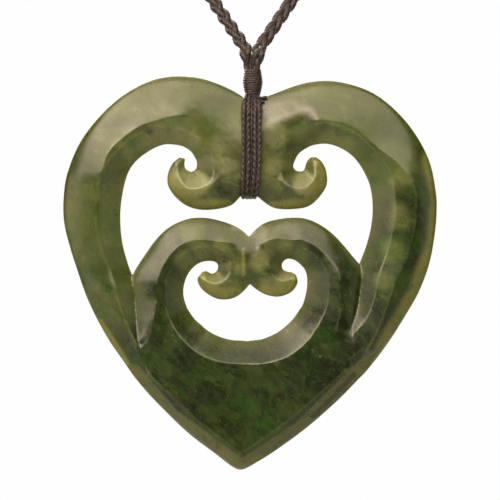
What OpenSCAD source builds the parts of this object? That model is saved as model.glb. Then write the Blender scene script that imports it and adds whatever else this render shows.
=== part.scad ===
// Koru heart pendant: a pierced and bevelled greenstone heart, lashed to a plaited waxed cord.
// Millimetres. Up is +Z and the carved face looks along -Y.
// The origin is the point where the cord rests on the back of the neck.

/* [Heart] */
// Width of the heart across both lobes
heart_w = 56; // [52:1:60]
// Height of the heart from the lobes to the tip
heart_h = 59; // [55:1:63]
// Slope of the bevels that run down into the windows, in degrees
bevel_slope = 36; // [30:1:38]
// Height of the carved face above the middle plane where the halves meet
face_h = 2.7; // [2.5:0.1:2.8]
// Height of the thin polished rim above the middle plane
rim_h = 0.65; // [0.5:0.05:0.8]
// Height of the plain back behind the middle plane
back_h = 2.1; // [1.8:0.1:2.2]

/* [Cord] */
// Thickness of the plaited neck cord
plait_d = 1.9; // [1.6:0.1:2]
// Radius of the loop round the back of the neck
neck_r = 75; // [65:1:90]
// Angle of each leg of the loop from the loop's own middle line
leg_angle = 26.4; // [22:0.2:30]
// Angle by which the plane of the loop leans back from upright
lean_back = 40; // [30:1:45]

/* [Binding] */
// Thickness of one thread of the lashing over the bridge of the heart
thread_d = 0.64; // [0.5:0.02:0.66]
// Spacing of the lashing threads on the front of the bridge
thread_pitch = 0.76; // [0.76:0.02:0.8]
// Number of turns in the whipping that gathers the two legs
whipping_turns = 10; // [8:1:12]
// Depth of the groove between two turns of the whipping
turn_groove = 0.07; // [0.03:0.01:0.1]

/* [Hidden] */
eps = 0.01;

// The tables below are drawn for a heart of this size and scale with it
drawn_w = 56;
drawn_h = 59;
kx = heart_w / drawn_w;
kz = heart_h / drawn_h;

// Colours as they show in daylight
stone_green = [0.44, 0.45, 0.24];
cord_brown = [0.24, 0.2, 0.2];

// Height of the valley down the middle of the inner heart
valley_h = 2.1;

// The heart is four fronds, each swept from the tip of its koru outwards. A row is one
// section across the frond. Its columns are:
// window side x, window side z, outer side x, outer side z,
// width of the window bevel, width of the outer fall,
// height of the outer side, height of the window side.
left_outer_frond = [
    [-9.75, 13.7, -10.65, 13.9, 0.2, 0.3, rim_h, rim_h],
    [-9.85, 12.9, -11.7, 13.0, 0.8, 0.6, rim_h, rim_h],
    [-9.7, 12.2, -12.4, 10.95, 1.2, 1.75, rim_h, rim_h],
    [-9.15, 11.85, -12.0, 9.0, 1.8, 2.2, rim_h, rim_h],
    [-8.8, 11.8, -9.9, 6.85, 2.6, 2.45, rim_h, rim_h],
    [-8.4, 11.95, -7.0, 6.0, 2.8, 3.25, rim_h, rim_h],
    [-8.2, 12.15, -3.15, 6.55, 2.9, 4.0, rim_h, rim_h],
    [-8.0, 12.35, -1.2, 8.2, 2.8, 4.2, rim_h, rim_h],
    [-8.0, 12.5, 0.2, 8.9, 2.8, 3.8, rim_h, rim_h],
    [-7.95, 12.8, 0.6, 10.6, 2.7, 4.3, face_h, rim_h],
    [-8.0, 13.3, 0.6, 13.6, 2.6, 4.7, face_h, rim_h],
    [-8.25, 13.85, 0.6, 18.2, 2.4, 5.7, face_h, rim_h],
    [-8.9, 14.8, 0.3, 21.6, 2.3, 6.7, rim_h + 0.1, rim_h],
    [-10.0, 15.5, -3.2, 24.2, 2.2, 6.2, rim_h, rim_h],
    [-11.3, 15.8, -8.6, 25.95, 2.3, 6.1, rim_h, rim_h],
    [-13.0, 15.8, -14.3, 25.6, 2.5, 6.2, rim_h, rim_h],
    [-15.0, 14.95, -20.0, 22.55, 2.8, 5.3, rim_h, rim_h],
    [-16.95, 13.5, -24.9, 17.25, 3.1, 4.7, rim_h, rim_h],
    [-18.3, 11.6, -27.3, 12.0, 3.5, 5.1, rim_h, rim_h],
    [-19.15, 8.5, -28.0, 7.8, 3.5, 5.3, rim_h, rim_h],
    [-19.5, 5.0, -27.9, 4.0, 3.4, 4.98, rim_h, rim_h],
    [-19.2, 1.2, -27.0, 0.3, 3.1, 4.68, rim_h, rim_h],
    [-18.3, -2.2, -25.8, -3.45, 2.9, 4.62, rim_h, rim_h],
    [-17.3, -5.0, -24.5, -7.1, 2.9, 4.5, rim_h, 1.0],
    [-17.0, -8.0, -22.8, -10.7, 2.3, 3.98, rim_h, 1.3],
    [-16.8, -11.0, -20.95, -13.9, 1.5, 3.3, rim_h, 1.9],
    [-16.1, -14.0, -19.0, -16.7, 0.8, 2.7, rim_h, 2.6],
    [-14.9, -16.2, -17.3, -19.1, 0.4, 1.8, rim_h, 2.8],
    [-13.7, -18.0, -16.0, -20.5, 0.4, 1.8, rim_h, 2.4]];

right_outer_frond = [
    [9.3, 14.0, 10.0, 13.9, 0.2, 0.2, rim_h, rim_h],
    [8.75, 13.65, 10.9, 13.1, 0.9, 0.7, rim_h, rim_h],
    [8.4, 12.9, 11.5, 11.6, 1.5, 1.8, rim_h, rim_h],
    [8.2, 12.2, 11.4, 9.4, 2.0, 2.2, rim_h, rim_h],
    [7.8, 11.85, 9.3, 6.85, 2.5, 2.65, rim_h, rim_h],
    [7.5, 11.8, 6.8, 6.15, 2.6, 3.0, rim_h, rim_h],
    [7.0, 11.9, 3.5, 6.35, 2.5, 3.8, rim_h, rim_h],
    [6.7, 12.1, 0.9, 8.15, 2.3, 4.1, rim_h, rim_h],
    [6.6, 12.3, -0.8, 8.95, 2.3, 3.6, rim_h, rim_h],
    [6.5, 12.5, -0.4, 10.6, 2.1, 4.1, face_h, rim_h],
    [6.55, 12.9, -0.4, 13.6, 2.0, 4.4, face_h, rim_h],
    [6.75, 13.4, -0.4, 18.2, 2.1, 5.5, face_h, rim_h],
    [7.3, 14.4, 0.0, 21.6, 2.3, 6.5, rim_h + 0.1, rim_h],
    [8.35, 15.2, 3.65, 23.5, 2.5, 5.4, rim_h, rim_h],
    [9.8, 15.8, 8.6, 25.15, 2.8, 5.9, rim_h, rim_h],
    [11.8, 15.9, 13.4, 25.2, 2.8, 6.1, rim_h, rim_h],
    [13.9, 15.15, 18.8, 23.35, 2.7, 6.1, rim_h, rim_h],
    [15.65, 13.85, 23.5, 19.2, 2.9, 6.0, rim_h, rim_h],
    [17.1, 11.8, 26.7, 14.0, 3.5, 4.6, rim_h, rim_h],
    [18.15, 9.2, 27.9, 9.0, 3.5, 3.3, rim_h, rim_h],
    [18.45, 6.0, 28.05, 5.4, 3.4, 3.2, rim_h, rim_h],
    [18.1, 3.0, 27.65, 1.5, 3.2, 3.4, rim_h, rim_h],
    [17.4, 0.45, 26.85, -2.4, 3.2, 3.7, rim_h, rim_h],
    [16.4, -2.4, 25.35, -6.35, 3.2, 4.0, rim_h, 0.8],
    [16.2, -5.6, 23.5, -9.6, 2.8, 3.3, rim_h, 1.2],
    [15.7, -8.6, 21.45, -12.9, 2.3, 2.6, rim_h, 1.6],
    [14.8, -11.4, 19.4, -15.8, 1.3, 2.1, rim_h, 2.3],
    [14.0, -14.4, 17.35, -18.3, 0.5, 1.9, rim_h, 2.8],
    [12.6, -17.0, 15.7, -19.9, 0.4, 1.8, rim_h, 2.4]];

left_inner_frond = [
    [-6.65, -3.1, -7.3, -3.35, 0.2, 0.2, rim_h, rim_h],
    [-6.0, -3.45, -7.9, -4.45, 0.9, 0.6, rim_h, rim_h],
    [-5.65, -3.5, -7.05, -6.05, 1.4, 1.4, rim_h, rim_h],
    [-5.3, -3.35, -4.8, -7.35, 1.7, 2.28, rim_h, rim_h],
    [-5.0, -3.1, -2.2, -7.1, 1.9, 2.9, rim_h, rim_h],
    [-4.8, -2.75, -0.1, -5.2, 2.1, 3.0, rim_h, rim_h],
    [-4.8, -2.5, 0.4, -3.8, 2.1, 1.6, valley_h, rim_h],
    [-4.8, -2.2, 0.4, -1.5, 2.1, 1.6, valley_h, rim_h],
    [-4.9, -2.05, 0.4, 0.6, 2.1, 1.6, valley_h, rim_h],
    [-5.1, -1.9, -0.1, 1.9, 2.1, 2.0, rim_h, rim_h],
    [-5.5, -1.7, -2.4, 3.65, 2.1, 2.8, rim_h, rim_h],
    [-6.2, -1.65, -6.4, 4.8, 2.1, 3.4, rim_h, rim_h],
    [-7.2, -1.8, -9.7, 4.6, 2.2, 3.4, rim_h, rim_h],
    [-8.3, -2.4, -12.95, 2.85, 2.4, 3.2, rim_h, rim_h],
    [-9.3, -3.6, -15.7, -0.55, 2.5, 3.2, rim_h, rim_h],
    [-9.9, -5.2, -17.7, -4.2, 2.8, 3.8, 1.0, rim_h],
    [-10.0, -6.8, -17.4, -7.8, 2.9, 3.4, 1.3, rim_h],
    [-9.5, -8.55, -17.2, -11.5, 3.0, 2.8, 1.9, rim_h],
    [-9.0, -9.4, -16.8, -14.1, 3.1, 2.0, 2.8, rim_h],
    [-8.6, -10.0, -18.2, -16.6, 3.2, 2.0, 1.3, rim_h],
    [-8.1, -10.6, -17.4, -18.7, 3.3, 1.7, rim_h, rim_h],
    [-7.5, -11.1, -16.25, -20.4, 3.4, 1.6, rim_h, rim_h],
    [-6.2, -12.2, -13.4, -23.5, 3.5, 1.7, rim_h, rim_h],
    [-4.6, -13.0, -9.3, -27.45, 3.5, 1.7, rim_h, rim_h],
    [-3.0, -13.45, -5.3, -30.5, 3.4, 1.7, rim_h, rim_h],
    [-1.3, -13.57, -2.65, -32.5, 3.4, 1.7, rim_h, rim_h],
    [-0.4, -13.66, -1.35, -32.98, 3.35, 1.7, rim_h, rim_h],
    [0.5, -13.86, -0.6, -32.55, 3.2, 1.8, rim_h - 0.03, rim_h - 0.05]];

right_inner_frond = [
    [6.1, -3.25, 6.95, -3.75, 0.2, 0.2, rim_h, rim_h],
    [5.85, -3.3, 7.15, -4.95, 0.9, 0.6, rim_h, rim_h],
    [5.5, -3.2, 6.2, -6.3, 1.3, 1.82, rim_h, rim_h],
    [5.2, -3.1, 4.3, -7.0, 1.6, 2.34, rim_h, rim_h],
    [4.95, -2.9, 2.15, -6.6, 1.7, 2.85, rim_h, rim_h],
    [4.8, -2.6, 0.1, -5.2, 1.7, 3.2, rim_h, rim_h],
    [4.8, -2.35, -0.6, -3.8, 1.7, 1.6, valley_h, rim_h],
    [4.8, -2.1, -0.6, -1.5, 1.7, 1.6, valley_h, rim_h],
    [4.9, -1.9, -0.6, 0.6, 1.7, 1.6, valley_h, rim_h],
    [5.1, -1.65, -0.2, 1.9, 1.7, 2.0, rim_h, rim_h],
    [5.5, -1.35, 2.15, 4.05, 1.8, 2.8, rim_h, rim_h],
    [6.2, -1.35, 5.9, 4.85, 2.0, 3.4, rim_h, rim_h],
    [6.85, -1.6, 9.0, 4.5, 2.1, 3.2, rim_h, rim_h],
    [7.5, -2.1, 12.15, 2.65, 2.4, 3.0, rim_h, rim_h],
    [8.3, -3.05, 15.15, -0.6, 2.8, 3.2, rim_h, rim_h],
    [8.6, -4.4, 16.9, -3.2, 3.2, 3.6, 0.9, rim_h],
    [8.5, -6.1, 16.6, -6.6, 3.4, 3.1, 1.3, rim_h],
    [8.0, -8.0, 16.0, -9.6, 3.5, 2.5, 1.9, rim_h],
    [7.5, -8.8, 15.0, -12.9, 3.5, 2.0, 2.8, rim_h],
    [7.2, -9.3, 17.6, -16.9, 3.6, 2.0, 1.3, rim_h],
    [6.7, -10.0, 17.0, -18.4, 3.6, 1.7, rim_h, rim_h],
    [6.2, -10.6, 15.85, -19.85, 3.7, 1.6, rim_h, rim_h],
    [5.0, -11.7, 12.6, -23.1, 3.8, 1.7, rim_h, rim_h],
    [3.7, -12.55, 8.4, -26.75, 3.8, 1.7, rim_h, rim_h],
    [1.9, -13.3, 3.95, -30.0, 3.6, 1.7, rim_h, rim_h],
    [0.6, -13.5, 1.0, -31.85, 3.5, 1.7, rim_h, rim_h],
    [-0.3, -13.62, -1.0, -32.9, 3.35, 1.7, rim_h - 0.03, rim_h - 0.02],
    [-1.2, -13.84, -2.1, -32.4, 3.2, 1.8, rim_h - 0.04, rim_h - 0.06]];

// Rings swept between two rows of a frond, and how round the outer fall is (0 flat, 1 round)
rings_per_row = 3;
outer_roundness = 0.5;
inner_roundness = 0.26;
// Rise of the face between its two bevels, for each millimetre of its width, and the part
// of a half wave that it follows, which leaves it a little higher at the outer brow
crown = 0.045;
crown_turn = 164;
// Places of the points of a section: shares of the face, and angles round the outer fall
face_steps = [0.33, 0.67, 1];
fall_steps = [30, 55, 75, 90];
// Largest share of a section that its two slopes may take together
slope_share = 0.9;
// Share of the front height that the back follows near the rims
back_share = 0.85;
// Step between the backs of the fronds, which keeps one from lying in the plane of another
back_step = 0.04;

// Route of the lashing round the bridge, from the front of the whipping to its back. The
// threads draw together in the notch and again in the cusp below.
// Columns: middle x, depth y, height z, spacing of the threads, radius of a thread.
thread_r = thread_d / 2;
lash_front = face_h + 0.65;
lash_back = back_h + 0.46;
lashing_route = [
    [0.35, -0.5, 22.8, 0.52, 0.18],
    [0.32, -1.3, 22.68, 0.6, 0.23],
    [0.28, -2.2, 21.95, 0.72, 0.3],
    [0.26, 0.45 - lash_front, 20.8, thread_pitch, thread_r],
    [0.25, 0.2 - lash_front, 18.8, thread_pitch, thread_r],
    [0.25, 0.05 - lash_front, 16.5, thread_pitch, thread_r],
    [0.25, -lash_front, 14.0, thread_pitch, thread_r],
    [0.2, -lash_front, 12.0, thread_pitch - 0.03, thread_r - 0.02],
    [0.05, 0.1 - lash_front, 10.3, 0.66, 0.27],
    [-0.1, 0.45 - lash_front, 9.1, 0.54, 0.21],
    [-0.2, -1.9, 8.3, 0.48, 0.18],
    [-0.2, -0.9, 8.0, 0.46, 0.17],
    [-0.2, 0, 7.95, 0.46, 0.17],
    [-0.2, 0.9, 8.05, 0.46, 0.17],
    [-0.15, 1.9, 8.5, 0.5, 0.19],
    [0, lash_back - 0.1, 9.5, 0.6, 0.24],
    [0.15, lash_back, 11.0, 0.7, 0.29],
    [0.25, lash_back, 13.0, thread_pitch, thread_r],
    [0.25, lash_back, 16.0, thread_pitch, thread_r],
    [0.25, lash_back - 0.06, 18.6, thread_pitch, thread_r],
    [0.26, lash_back - 0.26, 20.4, thread_pitch, thread_r],
    [0.28, lash_back - 0.66, 21.8, 0.72, 0.3],
    [0.32, 1.15, 22.65, 0.6, 0.23],
    [0.35, 0.5, 22.8, 0.52, 0.18]];
lashing_rings = 44;
threads = 4;
thread_sides = 8;

// Whipping: a barrel of fine turns. Columns: height z, radius.
whipping_x = 0.42;
whipping_profile = [
    [23.1, 1.05],
    [23.7, 1.2],
    [24.4, 1.38],
    [25.2, 1.48],
    [26.0, 1.37],
    [26.6, 1.28],
    [27.15, 1.2]];
whipping_z0 = whipping_profile[0][0];
whipping_z1 = whipping_profile[len(whipping_profile) - 1][0];
// Shares of a turn's height between which its crest lies
crest_from = 0.3;
crest_to = 0.7;

// Neck loop: apex of its two legs, and the points where its ends go into the whipping.
apex_x = 0.35;
apex_z = 28.7;
plait_rings = 76;
plait_sides = 8;
// Distance of the first whole ring of a leg from the apex
leg_start = 2.6;
// Ends of the plait. Columns: distance out from the middle, depth y, height z, radius.
// The legs lie one in front of the other where they are squeezed together.
plait_end = [
    [0.44, 0.36, 27.52, 0.48],
    [0.56, 0.62, 28.0, 0.74],
    [0.86, 0.6, 29.1, 0.93]];

// Cut tail of the whipping thread. Columns: x, y, z, radius.
tail_route = [
    [1.66, -1.3, 22.78, 0.2],
    [1.95, -1.48, 22.82, 0.24],
    [2.25, -1.62, 22.87, 0.26],
    [2.5, -1.7, 22.95, 0.2]];

// The loop in its own plane: centre of the neck arc above the apex, and length of a leg
arc_centre = neck_r / sin(leg_angle);
leg_len = neck_r / tan(leg_angle);
arc_half = 90 + leg_angle;
arc_len = 2 * arc_half * neck_r * PI / 180;
loop_rise = (arc_centre + neck_r) * cos(lean_back);
loop_back = (arc_centre + neck_r) * sin(lean_back);
// Place of the pendant's own zero, which is the middle of the heart
pendant = [-apex_x, -loop_back, -loop_rise - apex_z];

// Smooth curve through the rows of a table, with s from 0 to the last row's number
function row_at(rows, s) =
    let(n = len(rows) - 1, i = min(floor(s), n - 1), t = s - i)
    let(a = rows[max(i - 1, 0)], b = rows[i], c = rows[i + 1], d = rows[min(i + 2, n)])
    (2 * b + (c - a) * t + (2 * a - 5 * b + 4 * c - d) * t * t + (3 * b - a - 3 * c + d) * t * t * t) / 2;

// Front height of a frond at each step across it, as pairs of distance and height
function front_profile(span, bevel, fall, outer_h, window_h, roundness) =
    let(ledge_h = window_h + bevel * tan(bevel_slope), face = span - bevel - fall)
    let(brow_h = ledge_h + crown * face * sin(crown_turn))
    concat(
        [for (t = [0, 0.5, 1]) [bevel * t, window_h + (ledge_h - window_h) * t]],
        [for (t = face_steps) [bevel + face * t, ledge_h + crown * face * sin(crown_turn * t)]],
        [for (a = fall_steps)
            let(drop = roundness * cos(a) + (1 - roundness) * (1 - sin(a)))
            [bevel + face + fall * sin(a), outer_h + (brow_h - outer_h) * drop]]);

// One closed section: along the carved front, then back along the plain back at most back_top deep
function frond_section(row, roundness, back_top) =
    let(inner = [row[0] * kx, row[1] * kz], outer = [row[2] * kx, row[3] * kz])
    let(span = norm(outer - inner), along = (outer - inner) / span)
    let(room = min(1, span * slope_share / (row[4] + row[5])))
    let(front = front_profile(span, row[4] * room, row[5] * room, row[6], row[7], roundness))
    let(last = len(front) - 1)
    concat(
        [for (p = front) [inner[0] + along[0] * p[0], -p[1], inner[1] + along[1] * p[0]]],
        [for (i = [last : -2 : 0]) let(p = front[i])
            [inner[0] + along[0] * p[0], min(p[1] * back_share, back_top), inner[1] + along[1] * p[0]]]);

// Closed solid through a list of sections that all have the same number of points
module skin(sections) {
    n = len(sections[0]);
    m = len(sections);
    points = [for (s = sections) each s];
    sides = [for (i = [0 : m - 2]) for (j = [0 : n - 1])
        let(k = (j + 1) % n)
        each [[i * n + j, (i + 1) * n + k, i * n + k], [i * n + j, (i + 1) * n + j, (i + 1) * n + k]]];
    first = [for (j = [1 : n - 2]) [0, j, j + 1]];
    final = [for (j = [1 : n - 2]) [(m - 1) * n, (m - 1) * n + j + 1, (m - 1) * n + j]];
    polyhedron(points = points, faces = concat(sides, first, final), convexity = 8);
}

// Sections of one frond, in the order that turns its faces outwards
module frond(rows, roundness, back_top, turned) {
    steps = (len(rows) - 1) * rings_per_row;
    order = turned ? [for (i = [steps : -1 : 0]) i] : [for (i = [0 : steps]) i];
    skin([for (i = order) frond_section(row_at(rows, i / rings_per_row), roundness, back_top)]);
}

// Round tube through points, each with its own radius. Side is a direction never along the tube.
module tube(points, radii, sides, side) {
    last = len(points) - 1;
    skin([for (i = [0 : last])
        let(dir = points[min(i + 1, last)] - points[max(i - 1, 0)], ahead = dir / norm(dir))
        let(across = cross(side, ahead), u = across / norm(across), v = cross(ahead, u))
        [for (k = [0 : sides - 1]) let(a = 360 * k / sides)
            points[i] + radii[i] * (cos(a) * u + sin(a) * v)]]);
}

// The stone: four fronds fused into one solid, with the windows left open between them
module heart() {
    color(stone_green)
    translate(pendant)
    resize([heart_w, 0, heart_h])
    union() {
        frond(left_outer_frond, outer_roundness, back_h, false);
        frond(right_outer_frond, outer_roundness, back_h - back_step, true);
        frond(left_inner_frond, inner_roundness, back_h - back_step * 2, false);
        frond(right_inner_frond, inner_roundness, back_h - back_step * 3, true);
    }
}

// One thread of the lashing, numbered from 1 on the left
module lashing_thread(number) {
    step = (len(lashing_route) - 1) / (lashing_rings - 1);
    rows = [for (i = [0 : lashing_rings - 1]) row_at(lashing_route, i * step)];
    place = number - (threads + 1) / 2;
    centres = [for (r = rows) [r[0] * kx + place * r[3], r[1], r[2] * kz]];
    color(cord_brown)
    translate(pendant)
    tube(centres, [for (r = rows) r[4]], thread_sides, [1, 0, 0]);
}

// Radius of the whipping at a height, before its turns are cut in
function barrel_r(z) =
    let(i = max([for (j = [0 : len(whipping_profile) - 2]) if (whipping_profile[j][0] <= z + eps) j]))
    let(a = whipping_profile[i], b = whipping_profile[i + 1])
    a[1] + (b[1] - a[1]) * (z - a[0]) / (b[0] - a[0]);

// The whipping: fine turns of thread round the gathered legs
module whipping() {
    turn_h = (whipping_z1 - whipping_z0) / whipping_turns;
    ridges = [for (i = [0 : whipping_turns - 1])
        let(z = whipping_z0 + i * turn_h)
        let(crest_r = barrel_r(z + turn_h / 2))
        each [
            [barrel_r(z) - turn_groove, z],
            [crest_r, z + turn_h * crest_from],
            [crest_r, z + turn_h * crest_to]]];
    top = [barrel_r(whipping_z1) - turn_groove, whipping_z1];
    color(cord_brown)
    translate(pendant + [whipping_x, 0, whipping_z1 * (kz - 1)])
    rotate_extrude($fn = 48)
    polygon(concat([[0, whipping_z0]], ridges, [top, [0, whipping_z1]]));
}

// A point of the neck loop in space, from its place across and up the leaning plane
function on_plane(x, v) = [x + apex_x, v * sin(lean_back), v * cos(lean_back) + apex_z];

// A point of the loop, s along it from the left leg's foot at the apex
function loop_point(s) =
    s < leg_len ? on_plane(-s * sin(leg_angle), s * cos(leg_angle))
    : s > leg_len + arc_len ?
        let(r = 2 * leg_len + arc_len - s)
        on_plane(r * sin(leg_angle), r * cos(leg_angle))
    : let(a = (s - leg_len) / neck_r * 180 / PI - arc_half)
      on_plane(neck_r * sin(a), arc_centre + neck_r * cos(a));

// The plaited cord: one tube from the whipping, round the neck and back to the whipping
module neck_plait() {
    run = 2 * (leg_len - leg_start) + arc_len;
    last_end = len(plait_end) - 1;
    left = [for (e = plait_end) [apex_x - e[0], e[1], e[2]]];
    middle = [for (i = [0 : plait_rings - 1]) loop_point(leg_start + run * i / (plait_rings - 1))];
    right = [for (i = [last_end : -1 : 0]) let(e = plait_end[i]) [apex_x + e[0], -e[1], e[2]]];
    radii = concat(
        [for (e = plait_end) e[3]],
        [for (p = middle) plait_d / 2],
        [for (i = [last_end : -1 : 0]) plait_end[i][3]]);
    color(cord_brown)
    translate(pendant + [0, 0, whipping_z1 * (kz - 1)])
    tube(concat(left, middle, right), radii, plait_sides, [0, cos(lean_back), -sin(lean_back)]);
}

// The cut end of the whipping thread, standing out beside the notch
module thread_tail() {
    color(cord_brown)
    translate(pendant + [0, 0, whipping_z1 * (kz - 1)])
    tube([for (r = tail_route) [r[0], r[1], r[2]]], [for (r = tail_route) r[3]], thread_sides, [0, 0, 1]);
}

heart();
lashing_thread(1);  // lashing_thread_1
lashing_thread(2);  // lashing_thread_2
lashing_thread(3);  // lashing_thread_3
lashing_thread(4);  // lashing_thread_4
whipping();
neck_plait();
thread_tail();
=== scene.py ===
"""Looks of the koru heart pendant: a pierced greenstone heart on a plaited waxed cord.

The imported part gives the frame, in metres, with +Z up and the carved face towards -Y.
Each piece is worked out in millimetres about the pendant's own zero, the middle of the
heart, and is then set in its place by the CAD node that it stands for.
"""

import logging
import math
from dataclasses import dataclass, replace
from enum import Enum
from typing import Any, Mapping, Optional, Sequence

import bpy
import numpy as np
from bpy.types import Material, Mesh, Node, NodeSocket, NodeTree, Object
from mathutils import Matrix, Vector
from mathutils.bvhtree import BVHTree


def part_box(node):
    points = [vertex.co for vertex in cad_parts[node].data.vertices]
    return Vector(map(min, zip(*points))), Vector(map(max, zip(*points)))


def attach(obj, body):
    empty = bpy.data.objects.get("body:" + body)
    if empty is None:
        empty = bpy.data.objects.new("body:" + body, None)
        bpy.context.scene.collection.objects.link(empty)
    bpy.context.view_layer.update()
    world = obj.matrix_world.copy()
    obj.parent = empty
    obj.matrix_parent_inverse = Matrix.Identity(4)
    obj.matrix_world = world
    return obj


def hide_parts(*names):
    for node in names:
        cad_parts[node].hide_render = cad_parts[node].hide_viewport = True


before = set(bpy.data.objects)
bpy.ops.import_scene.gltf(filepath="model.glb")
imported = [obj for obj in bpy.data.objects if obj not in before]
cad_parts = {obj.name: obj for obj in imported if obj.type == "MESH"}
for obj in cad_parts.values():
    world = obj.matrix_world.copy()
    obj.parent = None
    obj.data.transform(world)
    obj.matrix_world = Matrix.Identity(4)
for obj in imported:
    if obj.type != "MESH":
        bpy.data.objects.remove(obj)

LOG = logging.getLogger("koru_heart")
MM = 0.001
BODY = "root"
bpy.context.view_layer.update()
Rows = tuple[tuple[float, ...], ...]
# Smallest weight that is divided by
TINY = 1e-6
# Direction that no thread starts along, from which its first ring is turned
ASIDE = (0.0, 0.3, 1.0)


class Slot(Enum):
    """Material slots of the record."""

    STONE = "greenstone"
    THREAD = "waxed_thread"
    PLAIT = "waxed_plait"


# Small helpers for colours, nodes and meshes


def linear(code: str) -> tuple[float, float, float, float]:
    """Turns an sRGB colour into the linear colour that a shader takes.

    Args:
        code: Colour as six hex digits after a hash sign.

    Returns:
        Red, green, blue and an alpha of one.
    """
    parts = [int(code[i : i + 2], 16) / 255 for i in (1, 3, 5)]
    red, green, blue = (p / 12.92 if p <= 0.04045 else ((p + 0.055) / 1.055) ** 2.4 for p in parts)
    return red, green, blue, 1.0


def per_metre(size_mm: float) -> float:
    """Scale of a noise whose features are about size_mm across."""
    return 1.0 / (size_mm * MM)


def add_node(
    tree: NodeTree,
    kind: str,
    settings: Optional[Mapping[Any, Any]] = None,
    links: Optional[Mapping[Any, NodeSocket]] = None,
) -> Node:
    """Adds a node to a tree with its settings and links.

    Args:
        tree: Node tree of the material or world.
        kind: Blender's name of the node type, without ShaderNode at its start.
        settings: Values by input name, input number or property name; "ramp" takes the
            stops of a colour ramp as pairs of place and colour.
        links: Sockets that feed the node's inputs, by input name or number.

    Returns:
        The new node.
    """
    node = tree.nodes.new("ShaderNode" + kind)
    for key, value in (settings or {}).items():
        if key == "ramp":
            stops = node.color_ramp.elements
            while len(stops) < len(value):
                stops.new(0.5)
            for stop, (place, colour) in zip(stops, value):
                stop.position, stop.color = place, linear(colour)
        elif isinstance(key, int) or key in node.inputs:
            node.inputs[key].default_value = value
        else:
            setattr(node, key, value)
    for key, socket in (links or {}).items():
        tree.links.new(socket, node.inputs[key])
    return node


def new_material(name: str) -> tuple[Material, NodeTree]:
    """Makes a material with an empty node tree.

    Args:
        name: Name of the finish.

    Returns:
        The material and its node tree.
    """
    material = bpy.data.materials.new(name)
    material.use_nodes = True
    material.node_tree.nodes.clear()
    return material, material.node_tree


def new_object(name: str, points: np.ndarray, faces: Sequence[Sequence[int]]) -> Object:
    """Makes a smooth-shaded mesh object at the origin.

    Args:
        name: Name of the piece.
        points: Vertices, one row each.
        faces: Vertex numbers of each face.

    Returns:
        The object, linked to the scene.
    """
    mesh = bpy.data.meshes.new(name)
    mesh.from_pydata(np.asarray(points, float).tolist(), [], faces)
    mesh.validate()
    mesh.polygons.foreach_set("use_smooth", [True] * len(mesh.polygons))
    made = bpy.data.objects.new(name, mesh)
    bpy.context.scene.collection.objects.link(made)
    return made


def with_modifiers(piece: Object) -> Mesh:
    """Applies a piece's modifiers.

    Args:
        piece: Object whose mesh is replaced by the modified one.

    Returns:
        The new mesh.
    """
    seen = piece.evaluated_get(bpy.context.evaluated_depsgraph_get())
    mesh = bpy.data.meshes.new_from_object(seen)
    piece.modifiers.clear()
    old, piece.data = piece.data, mesh
    mesh.name = piece.name
    bpy.data.meshes.remove(old)
    mesh.polygons.foreach_set("use_smooth", [True] * len(mesh.polygons))
    return mesh


def rows_of(items: Any, name: str, kind: type, columns: int) -> np.ndarray:
    """Reads the numbers that a mesh keeps for each of its items.

    Args:
        items: Collection of the mesh, such as its vertices.
        name: Name of the numbers in an item.
        kind: Whether they are float or int.
        columns: How many numbers an item holds.

    Returns:
        One row for each item.
    """
    flat = np.empty(len(items) * columns, kind)
    items.foreach_get(name, flat)
    return flat.reshape(-1, columns)


def coordinates(mesh: Mesh) -> np.ndarray:
    """Vertices of a mesh, one row each."""
    return rows_of(mesh.vertices, "co", float, 3)


def set_coordinates(mesh: Mesh, points: np.ndarray) -> None:
    """Moves the vertices of a mesh to the given rows."""
    mesh.vertices.foreach_set("co", points.ravel())
    mesh.update()


def directions(mesh: Mesh) -> np.ndarray:
    """Normals of a mesh's vertices, one row each."""
    return rows_of(mesh.vertex_normals, "vector", float, 3)


def keep_values(mesh: Mesh, name: str, values: np.ndarray) -> None:
    """Keeps a value or a vector for each vertex, for a material to read.

    Args:
        mesh: Mesh that carries the values.
        name: Name by which the material reads them.
        values: One value, or one row of three, for each vertex.
    """
    kind, part = ("FLOAT", "value") if values.ndim == 1 else ("FLOAT_VECTOR", "vector")
    layer = mesh.attributes.new(name, kind, "POINT")
    layer.data.foreach_set(part, values.astype(np.float32).ravel())


def smooth_step(values: np.ndarray) -> np.ndarray:
    """Turns values from 0 to 1 into ones that start and end gently."""
    clipped = np.clip(values, 0, 1)
    return clipped * clipped * (3 - 2 * clipped)


def curve_through(table: Sequence[Sequence[float]], count: int) -> np.ndarray:
    """Smooth curve through the rows of a table, the same as the part's own.

    Args:
        table: One row for each knot.
        count: Number of places, spread evenly over the spans between the knots.

    Returns:
        One row of the table's columns for each place.
    """
    rows = np.asarray(table, float)
    n = len(rows) - 1
    places = np.linspace(0, n, count)
    i = np.minimum(np.floor(places).astype(int), n - 1)
    t = (places - i)[:, None]
    a, b = rows[np.maximum(i - 1, 0)], rows[i]
    c, d = rows[i + 1], rows[np.minimum(i + 2, n)]
    square, cube = 2 * a - 5 * b + 4 * c - d, 3 * b - a - 3 * c + d
    return (2 * b + (c - a) * t + square * t**2 + cube * t**3) / 2


def distances(points: np.ndarray) -> np.ndarray:
    """Distance of each row of a path from its start."""
    gaps = np.linalg.norm(np.diff(points[:, :3], axis=0), axis=1)
    return np.concatenate([[0.0], np.cumsum(gaps)])


def evenly(points: np.ndarray, step: float) -> np.ndarray:
    """Places points at even distances along a path.

    Args:
        points: Path, one row for each point; further columns than the first three are
            carried along.
        step: Distance between two new points.

    Returns:
        The new rows, each with its distance along the path as a last column.
    """
    run = distances(points)
    wanted = np.linspace(0, run[-1], max(2, int(round(run[-1] / step)) + 1))
    return np.stack([*(np.interp(wanted, run, column) for column in points.T), wanted], axis=1)


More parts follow.
